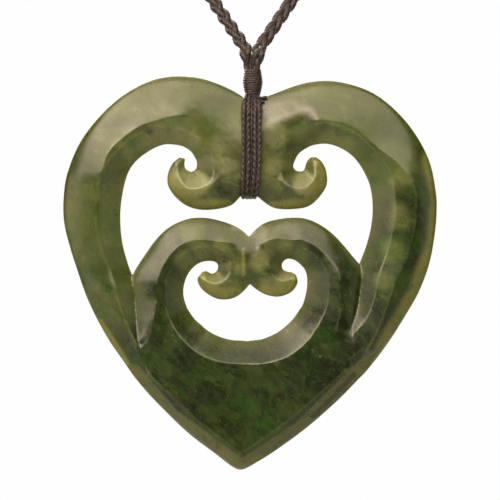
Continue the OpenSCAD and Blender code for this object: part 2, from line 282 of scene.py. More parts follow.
def headings(points: np.ndarray) -> np.ndarray:
    """Direction of a path at each of its rows, one unit long."""
    ahead = np.gradient(points, axis=0)
    return ahead / np.linalg.norm(ahead, axis=1)[:, None]


def tube_faces(rings: int, sides: int) -> list[list[int]]:
    """Faces of a closed tube.

    Args:
        rings: Number of rings, whose points lie one ring after another.
        sides: Number of points in a ring.

    Returns:
        Vertex numbers of the four-sided faces and then of the two ends.
    """
    last = (rings - 1) * sides
    walls = [
        [start + j, start + (j + 1) % sides, start + sides + (j + 1) % sides, start + sides + j]
        for start in range(0, last, sides)
        for j in range(sides)
    ]
    return walls + [list(range(sides - 1, -1, -1)), list(range(last, last + sides))]


@dataclass(frozen=True)
class PendantFrame:
    """Place of the pendant's own zero in the frame, in millimetres."""

    zero: np.ndarray

    @classmethod
    def from_nodes(cls, face_to_back: float, left: float, lowest: float) -> "PendantFrame":
        """Finds the pendant's zero from the heart's node.

        Args:
            face_to_back: Height of the back behind the pendant's zero.
            left: Distance of the heart's left edge from the zero.
            lowest: Distance of the tip below the zero.

        Returns:
            The frame of the pendant.
        """
        low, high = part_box("heart")
        corner = np.array([low.x + left * MM, high.y - face_to_back * MM, low.z + lowest * MM])
        return cls(corner / MM)

    def place(self, points: np.ndarray) -> np.ndarray:
        """Pendant millimetres to metres in the frame."""
        return (points + self.zero) * MM


def dress(piece: Object, material: Material, slot: Slot, *nodes: str) -> None:
    """Gives a piece its finish, its body and the nodes that it stands for.

    Args:
        piece: Finished object, already in its place.
        material: Its finish.
        slot: Slot of the record that the finish belongs to; not used.
        *nodes: CAD nodes that the piece replaces.
    """
    piece.data.materials.clear()
    piece.data.materials.append(material)
    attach(piece, BODY)
    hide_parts(*nodes)
    LOG.info("%s: %d faces, stands for %s", piece.name, len(piece.data.polygons), ", ".join(nodes))


# The stone


@dataclass(frozen=True)
class Mottle:
    """A pattern that runs through the stone: its grain in millimetres and how it is broken up."""

    name: str
    grain_mm: float
    seed: float
    detail: float = 4.0
    roughness: float = 0.6
    distortion: float = 0.0
    slanted: bool = False


@dataclass(frozen=True)
class Tint:
    """A colour of the stone and where it shows.

    Each row of shows_where names a pattern, or a value that the mesh keeps, with the value
    at which the colour starts to show and the one at which it shows in full.
    """

    colour: str
    most: float
    shows_where: tuple[tuple[str, float, float], ...]


@dataclass(frozen=True)
class Greenstone:
    """Polished New Zealand nephrite jade, ground with diamond wheels and waxed.

    It looks deep and a little oily: light sinks in and comes back green, so thin rims glow
    yellow-green while thick parts stay dark, with cloudy veins, flecks and brown inclusions
    under a soft polish that spreads the highlights. Beside the shader's own light that sinks in,
    the glow of thin stone and rims, light on some faces and lower rims, and a highlight along
    the arrises are painted into the colour.
    """

    # Body colour from the darkest clouds to the palest. Columns: place, colour
    body: tuple[tuple[float, str], ...] = (
        (0.36, "#0e1a01"),
        (0.50, "#172b00"),
        (0.64, "#293d04"),
        (0.80, "#3e490c"),
    )
    # Values that the mesh keeps; several carry painted light: the pale places in part, the glowing and
    # lower rims, and the highlight on the arrises
    mesh_values: tuple[str, ...] = (
        "thickness_mm",
        "arris",
        "pale",
        "green",
        "lit_rim",
        "dull_rim",
        "dirty",
        "dark_vein",
    )
    mottles: tuple[Mottle, ...] = (
        Mottle("clouds", 7.0, 0.0, 5.0, 0.62, 0.8, True),
        Mottle("veins", 2.4, 1.3, 6.0, 0.68, 1.4, True),
        Mottle("grit", 1.3, 9.6, 5.0, 0.72, 0.3, True),
        Mottle("leaves", 5.0, 3.7, 8.0, 0.75, 0.5),
        Mottle("flecks", 0.45, 5.1, 2.0, 0.5, 0.4),
        Mottle("specks", 0.36, 8.2, 1.0, 0.5),
        Mottle("swarms", 5.0, 6.4, 3.0, 0.6, 0.0, True),
        Mottle("ripple", 4.0, 2.2, 2.0, 0.5),
    )
    tints: tuple[Tint, ...] = (
        # cloudy and dark veins of the body
        Tint("#374712", 0.65, (("veins", 0.48, 0.66),)),
        Tint("#101a01", 0.6, (("veins", 0.46, 0.32),)),
        Tint("#4e5a26", 0.6, (("grit", 0.52, 0.68),)),
        Tint("#0c1602", 0.7, (("grit", 0.47, 0.34),)),
        # milky stone and painted light on faces that the lamps leave dark, with its own fine mottling
        Tint("#68723a", 1.0, (("pale", 0.0, 1.0), ("clouds", 0.25, 0.60))),
        Tint("#888c62", 0.5, (("pale", 0.3, 0.9), ("grit", 0.52, 0.68))),
        Tint("#445624", 0.5, (("pale", 0.3, 0.9), ("grit", 0.48, 0.34))),
        Tint("#a0a278", 0.65, (("pale", 0.7, 1.6),)),
        # painted glow of thin stone and of rims that light comes through
        Tint("#66691e", 0.45, (("thickness_mm", 4.6, 1.2),)),
        Tint("#8c8c40", 0.7, (("lit_rim", 0.0, 1.0), ("clouds", 0.1, 0.5))),
        # painted light on the lower rims, mottled with the veins
        Tint("#6a6b3e", 0.8, (("dull_rim", 0.05, 0.35), ("veins", 0.20, 0.56))),
        # bright green stone
        Tint("#225006", 0.6, (("leaves", 0.56, 0.70),)),
        Tint("#225006", 0.7, (("green", 0.0, 1.0), ("leaves", 0.44, 0.60))),
        Tint("#56692a", 0.35, (("pale", 0.3, 0.9), ("green", 0.2, 0.9))),
        # flecks, specks and inclusions
        Tint("#3f8a1c", 0.8, (("flecks", 0.64, 0.72), ("swarms", 0.42, 0.60))),
        Tint("#8c8a62", 0.6, (("specks", 0.76, 0.82),)),
        Tint("#1a1207", 0.8, (("flecks", 0.38, 0.28), ("swarms", 0.58, 0.44))),
        Tint("#120f04", 0.75, (("dirty", 0.1, 0.7), ("grit", 0.52, 0.40))),
        Tint("#553c1c", 0.5, (("dirty", 0.2, 0.8), ("flecks", 0.57, 0.68))),
        Tint("#8c8c6a", 0.6, (("dirty", 0.2, 0.8), ("specks", 0.68, 0.78))),
        Tint("#2e2b08", 0.8, (("dark_vein", 0.2, 0.9),)),
        # painted highlight along the ground arrises, a little paler than the faces beside them
        Tint("#8a9468", 0.2, (("arris", 0.25, 0.9), ("dull_rim", 0.5, 0.0))),
    )
    slant_deg: float = -38.0
    drawn_out: float = 0.66
    ior: float = 1.61
    # Roughness away from the veins and on them, and the values of their pattern there
    roughness: tuple[float, float] = (0.22, 0.36)
    vein_range: tuple[float, float] = (0.3, 0.7)
    ripple_strength: float = 0.25
    ripple_mm: float = 0.4
    # Light that sinks in: its share, how far red, green and blue go, and the unit of that
    glow: float = 0.2
    glow_colour: tuple[float, float, float] = (1.0, 1.1, 0.4)
    glow_mm: float = 1.2
    wax: float = 0.55
    wax_roughness: float = 0.19

    def material(self) -> Material:
        """Builds the stone's node material.

        Returns:
            The material.
        """
        material, tree = new_material("nephrite_jade")
        place = add_node(tree, "TexCoord").outputs["Object"]
        # veins lie along one slanting direction, as the layers of the boulder did
        turn = {"Rotation": (0.0, math.radians(self.slant_deg), 0.0)}
        turned = add_node(tree, "Mapping", turn, {"Vector": place}).outputs["Vector"]
        stretch = {"Scale": (self.drawn_out, 1.0, 1.0)}
        slanted = add_node(tree, "Mapping", stretch, {"Vector": turned}).outputs["Vector"]
        values = {
            name: add_node(tree, "Attribute", {"attribute_name": name}).outputs["Fac"]
            for name in self.mesh_values
        }
        for mottle in self.mottles:
            settings = {
                "noise_dimensions": "4D",
                "W": mottle.seed,
                "Scale": per_metre(mottle.grain_mm),
                "Detail": mottle.detail,
                "Roughness": mottle.roughness,
                "Distortion": mottle.distortion,
            }
            links = {"Vector": slanted if mottle.slanted else place}
            values[mottle.name] = add_node(tree, "TexNoise", settings, links).outputs["Fac"]
        clouds = {"Fac": values["clouds"]}
        colour = add_node(tree, "ValToRGB", {"ramp": self.body}, clouds).outputs["Color"]
        for tint in self.tints:
            amount = None
            for name, low, high in tint.shows_where:
                span = {"From Min": low, "From Max": high, "To Max": 1.0 if amount else tint.most}
                span["interpolation_type"] = "SMOOTHSTEP"
                share = add_node(tree, "MapRange", span, {"Value": values[name]}).outputs["Result"]
                if amount:
                    both = {0: amount, 1: share}
                    share = add_node(tree, "Math", {"operation": "MULTIPLY"}, both).outputs["Value"]
                amount = share
            over = {"data_type": "RGBA", 7: linear(tint.colour)}
            colour = add_node(tree, "Mix", over, {0: amount, 6: colour}).outputs[2]
        ripple = {"Strength": self.ripple_strength, "Distance": self.ripple_mm * MM}
        bump = add_node(tree, "Bump", ripple, {"Height": values["ripple"]}).outputs["Normal"]
        # the polish is a little uneven, duller over the veins
        low, high = self.vein_range
        dull = {"From Min": low, "From Max": high, "To Min": self.roughness[0], "To Max": self.roughness[1]}
        rough = add_node(tree, "MapRange", dull, {"Value": values["veins"]}).outputs["Result"]
        polish = {
            "IOR": self.ior,
            "Subsurface Weight": self.glow,
            "Subsurface Radius": self.glow_colour,
            "Subsurface Scale": self.glow_mm * MM,
            "Specular IOR Level": 0.5,
            "Coat Weight": self.wax,
            "Coat Roughness": self.wax_roughness,
        }
        links = {"Base Color": colour, "Roughness": rough, "Normal": bump}
        shader = add_node(tree, "BsdfPrincipled", polish, links)
        add_node(tree, "OutputMaterial", {}, {"Surface": shader.outputs["BSDF"]})
        return material


# Each table below is one frond of the heart, swept from the tip of its koru outwards. A row
# is one section across the frond. Its columns, in millimetres, are:
# window side x, window side z, outer side x, outer side z,
# width of the window bevel, width of the outer fall,
# height of the outer side, height of the window side.
# A height that is left out at the end of a row is RIM_H.
RIM_H = 0.65
FACE_H = 2.7
VALLEY_H = 2.1

LEFT_OUTER = (
    (-9.75, 13.7, -10.65, 13.9, 0.2, 0.3),
    (-9.85, 12.9, -11.7, 13.0, 0.8, 0.6),
    (-9.7, 12.2, -12.4, 10.95, 1.2, 1.75),
    (-9.15, 11.85, -12.0, 9.0, 1.8, 2.2),
    (-8.8, 11.8, -9.9, 6.85, 2.6, 2.45),
    (-8.4, 11.95, -7.0, 6.0, 2.8, 3.25),
    (-8.2, 12.15, -3.15, 6.55, 2.9, 4.0),
    (-8.0, 12.35, -1.2, 8.2, 2.8, 4.2),
    (-8.0, 12.5, 0.2, 8.9, 2.8, 3.8),
    (-7.95, 12.8, 0.6, 10.6, 2.7, 4.3, FACE_H),
    (-8.0, 13.3, 0.6, 13.6, 2.6, 4.7, FACE_H),
    (-8.25, 13.85, 0.6, 18.2, 2.4, 5.7, FACE_H),
    (-8.9, 14.8, 0.3, 21.6, 2.3, 6.7, RIM_H + 0.1),
    (-10.0, 15.5, -3.2, 24.2, 2.2, 6.2),
    (-11.3, 15.8, -8.6, 25.95, 2.3, 6.1),
    (-13.0, 15.8, -14.3, 25.6, 2.5, 6.2),
    (-15.0, 14.95, -20.0, 22.55, 2.8, 5.3),
    (-16.95, 13.5, -24.9, 17.25, 3.1, 4.7),
    (-18.3, 11.6, -27.3, 12.0, 3.5, 5.1),
    (-19.15, 8.5, -28.0, 7.8, 3.5, 5.3),
    (-19.5, 5.0, -27.9, 4.0, 3.4, 4.98),
    (-19.2, 1.2, -27.0, 0.3, 3.1, 4.68),
    (-18.3, -2.2, -25.8, -3.45, 2.9, 4.62),
    (-17.3, -5.0, -24.5, -7.1, 2.9, 4.5, RIM_H, 1.0),
    (-17.0, -8.0, -22.8, -10.7, 2.3, 3.98, RIM_H, 1.3),
    (-16.8, -11.0, -20.95, -13.9, 1.5, 3.3, RIM_H, 1.9),
    (-16.1, -14.0, -19.0, -16.7, 0.8, 2.7, RIM_H, 2.6),
    (-14.9, -16.2, -17.3, -19.1, 0.4, 1.8, RIM_H, 2.8),
    (-13.7, -18.0, -16.0, -20.5, 0.4, 1.8, RIM_H, 2.4),
)

RIGHT_OUTER = (
    (9.3, 14.0, 10.0, 13.9, 0.2, 0.2),
    (8.75, 13.65, 10.9, 13.1, 0.9, 0.7),
    (8.4, 12.9, 11.5, 11.6, 1.5, 1.8),
    (8.2, 12.2, 11.4, 9.4, 2.0, 2.2),
    (7.8, 11.85, 9.3, 6.85, 2.5, 2.65),
    (7.5, 11.8, 6.8, 6.15, 2.6, 3.0),
    (7.0, 11.9, 3.5, 6.35, 2.5, 3.8),
    (6.7, 12.1, 0.9, 8.15, 2.3, 4.1),
    (6.6, 12.3, -0.8, 8.95, 2.3, 3.6),
    (6.5, 12.5, -0.4, 10.6, 2.1, 4.1, FACE_H),
    (6.55, 12.9, -0.4, 13.6, 2.0, 4.4, FACE_H),
    (6.75, 13.4, -0.4, 18.2, 2.1, 5.5, FACE_H),
    (7.3, 14.4, 0.0, 21.6, 2.3, 6.5, RIM_H + 0.1),
    (8.35, 15.2, 3.65, 23.5, 2.5, 5.4),
    (9.8, 15.8, 8.6, 25.15, 2.8, 5.9),
    (11.8, 15.9, 13.4, 25.2, 2.8, 6.1),
    (13.9, 15.15, 18.8, 23.35, 2.7, 6.1),
    (15.65, 13.85, 23.5, 19.2, 2.9, 6.0),
    (17.1, 11.8, 26.7, 14.0, 3.5, 4.6),
    (18.15, 9.2, 27.9, 9.0, 3.5, 3.3),
    (18.45, 6.0, 28.05, 5.4, 3.4, 3.2),
    (18.1, 3.0, 27.65, 1.5, 3.2, 3.4),
    (17.4, 0.45, 26.85, -2.4, 3.2, 3.7),
    (16.4, -2.4, 25.35, -6.35, 3.2, 4.0, RIM_H, 0.8),
    (16.2, -5.6, 23.5, -9.6, 2.8, 3.3, RIM_H, 1.2),
    (15.7, -8.6, 21.45, -12.9, 2.3, 2.6, RIM_H, 1.6),
    (14.8, -11.4, 19.4, -15.8, 1.3, 2.1, RIM_H, 2.3),
    (14.0, -14.4, 17.35, -18.3, 0.5, 1.9, RIM_H, 2.8),
    (12.6, -17.0, 15.7, -19.9, 0.4, 1.8, RIM_H, 2.4),
)

LEFT_INNER = (
    (-6.65, -3.1, -7.3, -3.35, 0.2, 0.2),
    (-6.0, -3.45, -7.9, -4.45, 0.9, 0.6),
    (-5.65, -3.5, -7.05, -6.05, 1.4, 1.4),
    (-5.3, -3.35, -4.8, -7.35, 1.7, 2.28),
    (-5.0, -3.1, -2.2, -7.1, 1.9, 2.9),
    (-4.8, -2.75, -0.1, -5.2, 2.1, 3.0),
    (-4.8, -2.5, 0.4, -3.8, 2.1, 1.6, VALLEY_H),
    (-4.8, -2.2, 0.4, -1.5, 2.1, 1.6, VALLEY_H),
    (-4.9, -2.05, 0.4, 0.6, 2.1, 1.6, VALLEY_H),
    (-5.1, -1.9, -0.1, 1.9, 2.1, 2.0),
    (-5.5, -1.7, -2.4, 3.65, 2.1, 2.8),
    (-6.2, -1.65, -6.4, 4.8, 2.1, 3.4),
    (-7.2, -1.8, -9.7, 4.6, 2.2, 3.4),
    (-8.3, -2.4, -12.95, 2.85, 2.4, 3.2),
    (-9.3, -3.6, -15.7, -0.55, 2.5, 3.2),
    (-9.9, -5.2, -17.7, -4.2, 2.8, 3.8, 1.0),
    (-10.0, -6.8, -17.4, -7.8, 2.9, 3.4, 1.3),
    (-9.5, -8.55, -17.2, -11.5, 3.0, 2.8, 1.9),
    (-9.0, -9.4, -16.8, -14.1, 3.1, 2.0, 2.8),
    (-8.6, -10.0, -18.2, -16.6, 3.2, 2.0, 1.3),
    (-8.1, -10.6, -17.4, -18.7, 3.3, 1.7),
    (-7.5, -11.1, -16.25, -20.4, 3.4, 1.6),
    (-6.2, -12.2, -13.4, -23.5, 3.5, 1.7),
    (-4.6, -13.0, -9.3, -27.45, 3.5, 1.7),
    (-3.0, -13.45, -5.3, -30.5, 3.4, 1.7),
    (-1.3, -13.57, -2.65, -32.5, 3.4, 1.7),
    (-0.4, -13.66, -1.35, -32.98, 3.35, 1.7),
    (0.5, -13.86, -0.6, -32.55, 3.2, 1.8, RIM_H - 0.03, RIM_H - 0.05),
)

RIGHT_INNER = (
    (6.1, -3.25, 6.95, -3.75, 0.2, 0.2),
    (5.85, -3.3, 7.15, -4.95, 0.9, 0.6),
    (5.5, -3.2, 6.2, -6.3, 1.3, 1.82),
    (5.2, -3.1, 4.3, -7.0, 1.6, 2.34),
    (4.95, -2.9, 2.15, -6.6, 1.7, 2.85),
    (4.8, -2.6, 0.1, -5.2, 1.7, 3.2),
    (4.8, -2.35, -0.6, -3.8, 1.7, 1.6, VALLEY_H),
    (4.8, -2.1, -0.6, -1.5, 1.7, 1.6, VALLEY_H),
    (4.9, -1.9, -0.6, 0.6, 1.7, 1.6, VALLEY_H),
    (5.1, -1.65, -0.2, 1.9, 1.7, 2.0),
    (5.5, -1.35, 2.15, 4.05, 1.8, 2.8),
    (6.2, -1.35, 5.9, 4.85, 2.0, 3.4),
    (6.85, -1.6, 9.0, 4.5, 2.1, 3.2),
    (7.5, -2.1, 12.15, 2.65, 2.4, 3.0),
    (8.3, -3.05, 15.15, -0.6, 2.8, 3.2),
    (8.6, -4.4, 16.9, -3.2, 3.2, 3.6, 0.9),
    (8.5, -6.1, 16.6, -6.6, 3.4, 3.1, 1.3),
    (8.0, -8.0, 16.0, -9.6, 3.5, 2.5, 1.9),
    (7.5, -8.8, 15.0, -12.9, 3.5, 2.0, 2.8),
    (7.2, -9.3, 17.6, -16.9, 3.6, 2.0, 1.3),
    (6.7, -10.0, 17.0, -18.4, 3.6, 1.7),
    (6.2, -10.6, 15.85, -19.85, 3.7, 1.6),
    (5.0, -11.7, 12.6, -23.1, 3.8, 1.7),
    (3.7, -12.55, 8.4, -26.75, 3.8, 1.7),
    (1.9, -13.3, 3.95, -30.0, 3.6, 1.7),
    (0.6, -13.5, 1.0, -31.85, 3.5, 1.7),
    (-0.3, -13.62, -1.0, -32.9, 3.35, 1.7, RIM_H - 0.03, RIM_H - 0.02),
    (-1.2, -13.84, -2.1, -32.4, 3.2, 1.8, RIM_H - 0.04, RIM_H - 0.06),
)


@dataclass
class CarvedHeart:
    """The pierced heart: four bevelled fronds ground into one stone, with softened arrises."""

    bevel_slope_deg: float = 36.0
    face_tilt: float = 0.15
    rise_max: float = 0.35
    back_h: float = 2.1
    back_share: float = 0.85
    # Most of a frond's width that its bevel and fall may take up
    slope_share: float = 0.95
    outer_roundness: float = 0.5
    inner_roundness: float = 0.26
    rings_per_row: int = 14
    # Points across the bevel, the face and the fall of a section
    points_across: tuple[int, int, int] = (6, 15, 13)
    # Cells in which the fronds are fused, and rounds of softening after that
    grain: float = 0.14
    softening: int = 1
    # Grid on which the last polish reads the face: its cell, and the cells around the heart.
    # The polish acts in full where a normal leans forward by more than 1 / facing
    cell: float = 0.2
    margin: int = 40
    facing: float = 3.0
    # How steeply a value fades towards its reach, beside a line and round a place
    line_fade: float = 1.6
    place_fade: float = 1.4
    # Lines along which the last polish rounds the face. Columns: start x, start z, end x,
    # end z, reach to each side, radius of the rounding
    rubbed: Rows = (
        (-5.5, 19.5, 5.5, 19.5, 5.0, 1.6), (-0.5, 3.4, -0.5, -4.2, 3.2, 1.1),
        (-0.7, -20.6, -1.1, -27.2, 2.6, 0.8), (-0.7, -18.5, -0.9, -20.6, 1.3, 0.4),
        (13.9, -12.9, 16.6, -17.4, 2.2, 0.8), (-15.8, -15.6, -17.2, -18.6, 2.0, 0.8),
        (0.8, 10.6, 3.6, 11.3, 1.5, 0.7), (-0.2, 10.6, -4.2, 11.2, 1.4, 0.6),
        (-16.4, -19.4, -2.2, -31.2, 1.9, 0.5), (16.2, -18.6, 0.6, -30.8, 2.3, 0.6),
    )
    # Paler parts of the stone, partly milky stone and partly painted light: the upper half, and faces and
    # bevels painted lighter where the lamps leave them dark, and small parts painted with the glow of light
    # coming through. Columns: middle x, middle z, reach, share
    pale: Rows = (
        (-14.0, 17.0, 17.0, 0.8), (0.0, 14.5, 12.0, 0.95), (11.0, 19.0, 13.0, 0.7),
        (21.0, 12.0, 7.5, 0.55), (22.4, 10.5, 3.4, 0.9), (22.2, 5.0, 3.3, 0.9), (21.4, 0.0, 3.1, 0.85),
        (20.0, -4.5, 2.4, 0.7), (-25.0, 4.0, 12.0, 0.6), (-22.0, -8.0, 9.0, 0.5), (0.0, 2.0, 9.0, 0.55),
        (-10.0, 10.4, 4.8, 1.0), (-8.0, 9.9, 3.4, 1.6), (8.2, 9.9, 3.2, 1.6), (3.8, 16.8, 3.8, 1.27),
        (-3.8, 16.0, 3.8, 0.85), (3.4, 12.6, 3.0, 1.2), (-3.6, 12.6, 3.0, 1.15), (-6.5, 7.6, 4.0, 0.8),
        (10.2, 10.2, 4.6, 0.8), (6.5, 7.4, 4.0, 0.66), (-6.3, -4.9, 3.6, 1.1), (-3.2, -5.6, 3.0, 0.8),
        (5.6, -4.9, 3.6, 1.4), (3.0, -5.4, 3.0, 1.0), (-9.6, -1.6, 2.4, 0.8), (-7.2, -0.2, 2.2, 0.9),
        (-4.6, 0.3, 2.0, 0.8), (5.2, 0.4, 2.2, 0.8), (7.6, -0.6, 2.0, 0.6), (-8.6, 3.2, 3.6, 0.8),
        (1.5, -1.4, 3.0, 1.25), (-1.9, -2.6, 2.6, 0.8), (-17.6, 14.4, 3.2, 0.95),
        (-15.5, 16.0, 3.3, 1.15), (-13.3, 16.9, 3.3, 1.25), (-11.0, 17.1, 3.3, 1.2),
        (-8.9, 16.4, 3.0, 1.15), (11.6, 16.6, 3.0, 1.1), (14.0, 15.8, 3.0, 1.05), (-9.3, 11.6, 2.2, 1.6),
    )
    # Places of bright green stone. Columns: middle x, middle z, reach
    green: Rows = (
        (6.9, 18.4, 1.6), (14.6, 18.2, 1.7), (17.4, 13.6, 2.2), (19.6, 10.6, 2.4), (21.5, 0.0, 4.5),
        (-19.5, 2.0, 5.0), (-24.5, -6.0, 5.0), (-22.9, 4.6, 2.0), (-22.0, 0.4, 2.2), (-20.5, -4.9, 2.4),
        (-18.6, -9.6, 2.2), (-26.6, 2.1, 1.8), (-22.4, -9.7, 2.0), (-15.0, -18.0, 5.0),
        (10.0, -15.0, 6.0), (-6.6, 18.2, 1.9), (-11.4, 19.6, 2.2), (-17.4, 16.6, 2.0), (26.0, 8.0, 2.2),
        (25.6, 1.0, 2.2), (23.4, -5.0, 2.2), (-7.0, -21.0, 6.0), (1.0, -25.0, 6.0),
    )
    # Places with dark and brown inclusions. Columns: middle x, middle z, reach
    dirty: Rows = (
        (-12.4, -20.4, 2.0), (-9.6, -22.4, 2.6), (-7.2, -24.2, 2.4), (-5.0, -25.8, 1.8),
        (0.2, -21.6, 1.6), (4.6, -22.6, 2.4), (7.0, -23.8, 1.8), (1.8, -31.0, 1.4), (24.6, 7.0, 1.4),
        (-13.2, 6.8, 1.2),
    )
    # Dark veins near the edge. Columns: start x, start z, end x, end z, reach
    dark_veins: Rows = (
        (15.6, -18.6, 12.6, -21.8, 0.55), (12.6, -21.8, 9.4, -24.9, 0.5),
    )
    # Rims painted with the glow of light coming through them. Same columns as for the dark veins
    painted_glow_rims: Rows = (
        (-11.8, 10.0, -8.6, 6.6, 2.2), (-8.6, 6.6, -3.4, 6.4, 1.6), (3.4, 6.2, 9.2, 6.8, 1.6),
        (9.2, 6.8, 11.8, 10.2, 2.4), (11.8, 10.2, 10.8, 13.2, 2.0), (-7.6, -4.4, -5.6, -7.0, 2.2),
        (-5.6, -7.0, -2.0, -7.0, 1.8), (2.2, -6.6, 5.4, -7.0, 1.8), (5.4, -7.0, 7.2, -4.8, 2.2),
        (-1.0, 0.2, -1.0, -3.8, 0.36), (27.6, 13.5, 29.0, 7.0, 2.6), (29.0, 7.0, 28.6, 1.0, 3.0),
        (28.6, 1.0, 26.0, -5.6, 3.0), (26.0, -5.6, 20.6, -14.6, 2.6), (1.8, -31.6, -1.2, -33.4, 1.8),
        (-1.2, -33.4, -4.2, -31.2, 1.8), (-18.2, -17.6, -22.6, -10.9, 0.9),
    )
    # Lower edges painted lighter and greyer where the lamps leave them dark, as wide as their bevels. Same
    # columns
    painted_light_lower_rims: Rows = (
        (19.0, -17.0, 9.0, -26.8, 2.7), (9.0, -26.8, -1.2, -33.4, 2.4), (-1.2, -33.4, -12.0, -25.4, 2.2),
        (-12.0, -25.4, -17.6, -18.8, 2.1),
    )
    # Bend at which an arris starts, and by how much it grows to a sharp one
    plain_bend: float = 0.16
    arris_bend: float = 0.5
    arris_rounds: int = 4
    # Thickness is measured this far inside the surface, between rays from outside the stone,
    # and is edge_mm where they miss it
    inset_mm: float = 0.06
    outside_mm: float = 20.0
    edge_mm: float = 1.2
    most_triangles: int = 184000
    finish: Greenstone = Greenstone()

    def section(self, row: np.ndarray, roundness: float) -> np.ndarray:
        """One closed section across a frond.

        Args:
            row: Row of a frond's table.
            roundness: How round the outer fall is, from 0 for flat to 1.

        Returns:
            Points in pendant millimetres, along the face and back along the back.
        """
        inner, outer = row[0:2], row[2:4]
        bevel, fall, outer_h, window_h = row[4:8]
        span = float(np.linalg.norm(outer - inner))
        along = (outer - inner) / span
        room = min(1.0, span * self.slope_share / (bevel + fall))
        bevel, fall = bevel * room, fall * room
        face = span - bevel - fall
        ledge = window_h + bevel * math.tan(math.radians(self.bevel_slope_deg))
        on_bevel, on_face, on_fall = self.points_across
        t = np.linspace(0, 1, on_bevel)
        across, height = [bevel * t], [window_h + (ledge - window_h) * t]
        t = np.linspace(0, 1, on_face)[1:]
        rise = min(self.face_tilt * face, self.rise_max) * t
        across.append(bevel + face * t)
        height.append(ledge + rise)
        a = np.radians(np.linspace(0, 90, on_fall)[1:])
        drop = roundness * np.cos(a) + (1 - roundness) * (1 - np.sin(a))
        across.append(bevel + face + fall * np.sin(a))
        height.append(outer_h + (ledge + rise[-1] - outer_h) * drop)
        u, h = np.concatenate(across), np.concatenate(height)
        x, z = inner[0] + along[0] * u, inner[1] + along[1] * u
        back = np.minimum(h * self.back_share, self.back_h)
        front_side = np.stack([x, -h, z], axis=1)
        back_side = np.stack([x, back, z], axis=1)[::-1]
        return np.concatenate([front_side, back_side])

    def frond(self, table: Rows, roundness: float) -> tuple[np.ndarray, list[list[int]]]:
        """Closed mesh of one frond.

        Args:
            table: The frond's rows.
            roundness: How round its outer fall is.

        Returns:
            Vertices and faces.
        """
        rows = [(*row, RIM_H, RIM_H)[:8] for row in table]
        count = (len(rows) - 1) * self.rings_per_row + 1
        rings = [self.section(row, roundness) for row in curve_through(rows, count)]
        return np.concatenate(rings), tube_faces(count, len(rings[0]))

    def fused(self) -> Object:
        """Fuses the four fronds into one stone and softens its arrises.

        Returns:
            The stone, in pendant millimetres.
        """
        points, faces = [], []
        for table, roundness in (
            (LEFT_OUTER, self.outer_roundness),
            (RIGHT_OUTER, self.outer_roundness),
            (LEFT_INNER, self.inner_roundness),
            (RIGHT_INNER, self.inner_roundness),
        ):
            start = sum(len(p) for p in points)
            own_points, own_faces = self.frond(table, roundness)
            points.append(own_points)
            faces += [[start + k for k in face] for face in own_faces]
        stone = new_object("heart_stone", np.concatenate(points), faces)
        fuse = stone.modifiers.new("fuse", "REMESH")
        fuse.mode, fuse.voxel_size = "VOXEL", self.grain
        soften = stone.modifiers.new("soften", "SMOOTH")
        soften.factor, soften.iterations = 0.5, self.softening
        mesh = with_modifiers(stone)
        self.polish(mesh)
        count = 2 * len(mesh.polygons)
        LOG.info("heart_stone: %d triangles before thinning out", count)
        if count > self.most_triangles:
            thin_out = stone.modifiers.new("thin_out", "DECIMATE")
            thin_out.ratio = self.most_triangles / count
            with_modifiers(stone)
        return stone

    def polish(self, mesh: Mesh) -> None:
        """Rounds the face where the real one is rounded, and the seams between fronds.

        Args:
            mesh: The fused stone, still in millimetres.
        """
        points = coordinates(mesh)
        towards = np.clip(-self.facing * directions(mesh)[:, 1], 0, 1)
        lowest = points[:, [0, 2]].min(axis=0) - self.margin * self.cell
        spots = (points[:, [0, 2]] - lowest) / self.cell
        shape = tuple(np.ceil(spots.max(axis=0)).astype(int) + self.margin)
        index = np.ravel_multi_index(tuple(np.rint(spots).astype(int).T), shape)
        for radius in sorted({row[-1] for row in self.rubbed}):
            weight, depth = (
                self.spread(np.bincount(index, values, shape[0] * shape[1]).reshape(shape), radius)
                for values in (towards, towards * points[:, 1])
            )
            rubbed = self.at(depth / np.maximum(weight, TINY), spots)
            lines = [row[:-1] for row in self.rubbed if row[-1] == radius]
            points[:, 1] += self.beside(points, lines) * towards * (rubbed - points[:, 1])
        set_coordinates(mesh, points)

    def spread(self, values: np.ndarray, radius: float) -> np.ndarray:
        """Blurs a grid of values.

        Args:
            values: Grid over the heart's face.
            radius: Radius of the blur in millimetres.

        Returns:
            The blurred grid.
        """
        fx = np.fft.fftfreq(values.shape[0], self.cell)[:, None]
        fz = np.fft.rfftfreq(values.shape[1], self.cell)[None, :]
        faded = np.fft.rfft2(values) * np.exp(-2 * (math.pi * radius) ** 2 * (fx**2 + fz**2))
        return np.fft.irfft2(faded, values.shape)

    @staticmethod
    def at(values: np.ndarray, spots: np.ndarray) -> np.ndarray:
        """Reads a grid between its points.

        Args:
            values: Grid of values.
            spots: Places in grid steps, one row each.

        Returns:
            One value for each place.
        """
        i = np.floor(spots).astype(int)
        u, v = (spots - i).T
        x, z = i.T
        near = values[x, z] * (1 - v) + values[x, z + 1] * v
        far = values[x + 1, z] * (1 - v) + values[x + 1, z + 1] * v
        return near * (1 - u) + far * u

    def beside(self, points: np.ndarray, lines: Sequence[Sequence[float]]) -> np.ndarray:
        """How near each vertex is to any of a table's lines on the face.

        Args:
            points: Vertices in millimetres.
            lines: Rows of start x, start z, end x, end z and reach.

        Returns:
            Values from 0, at the reach and beyond it, to 1.
        """
        values = np.zeros(len(points))
        for x0, z0, x1, z1, reach in lines:
            along = np.array([x1 - x0, z1 - z0])
            flat = points[:, [0, 2]] - np.array([x0, z0])
            share = np.clip(flat @ along / float(along @ along), 0, 1)
            away = np.linalg.norm(flat - share[:, None] * along, axis=1) / reach
            values = np.maximum(values, smooth_step(self.line_fade - self.line_fade * away))
        return values

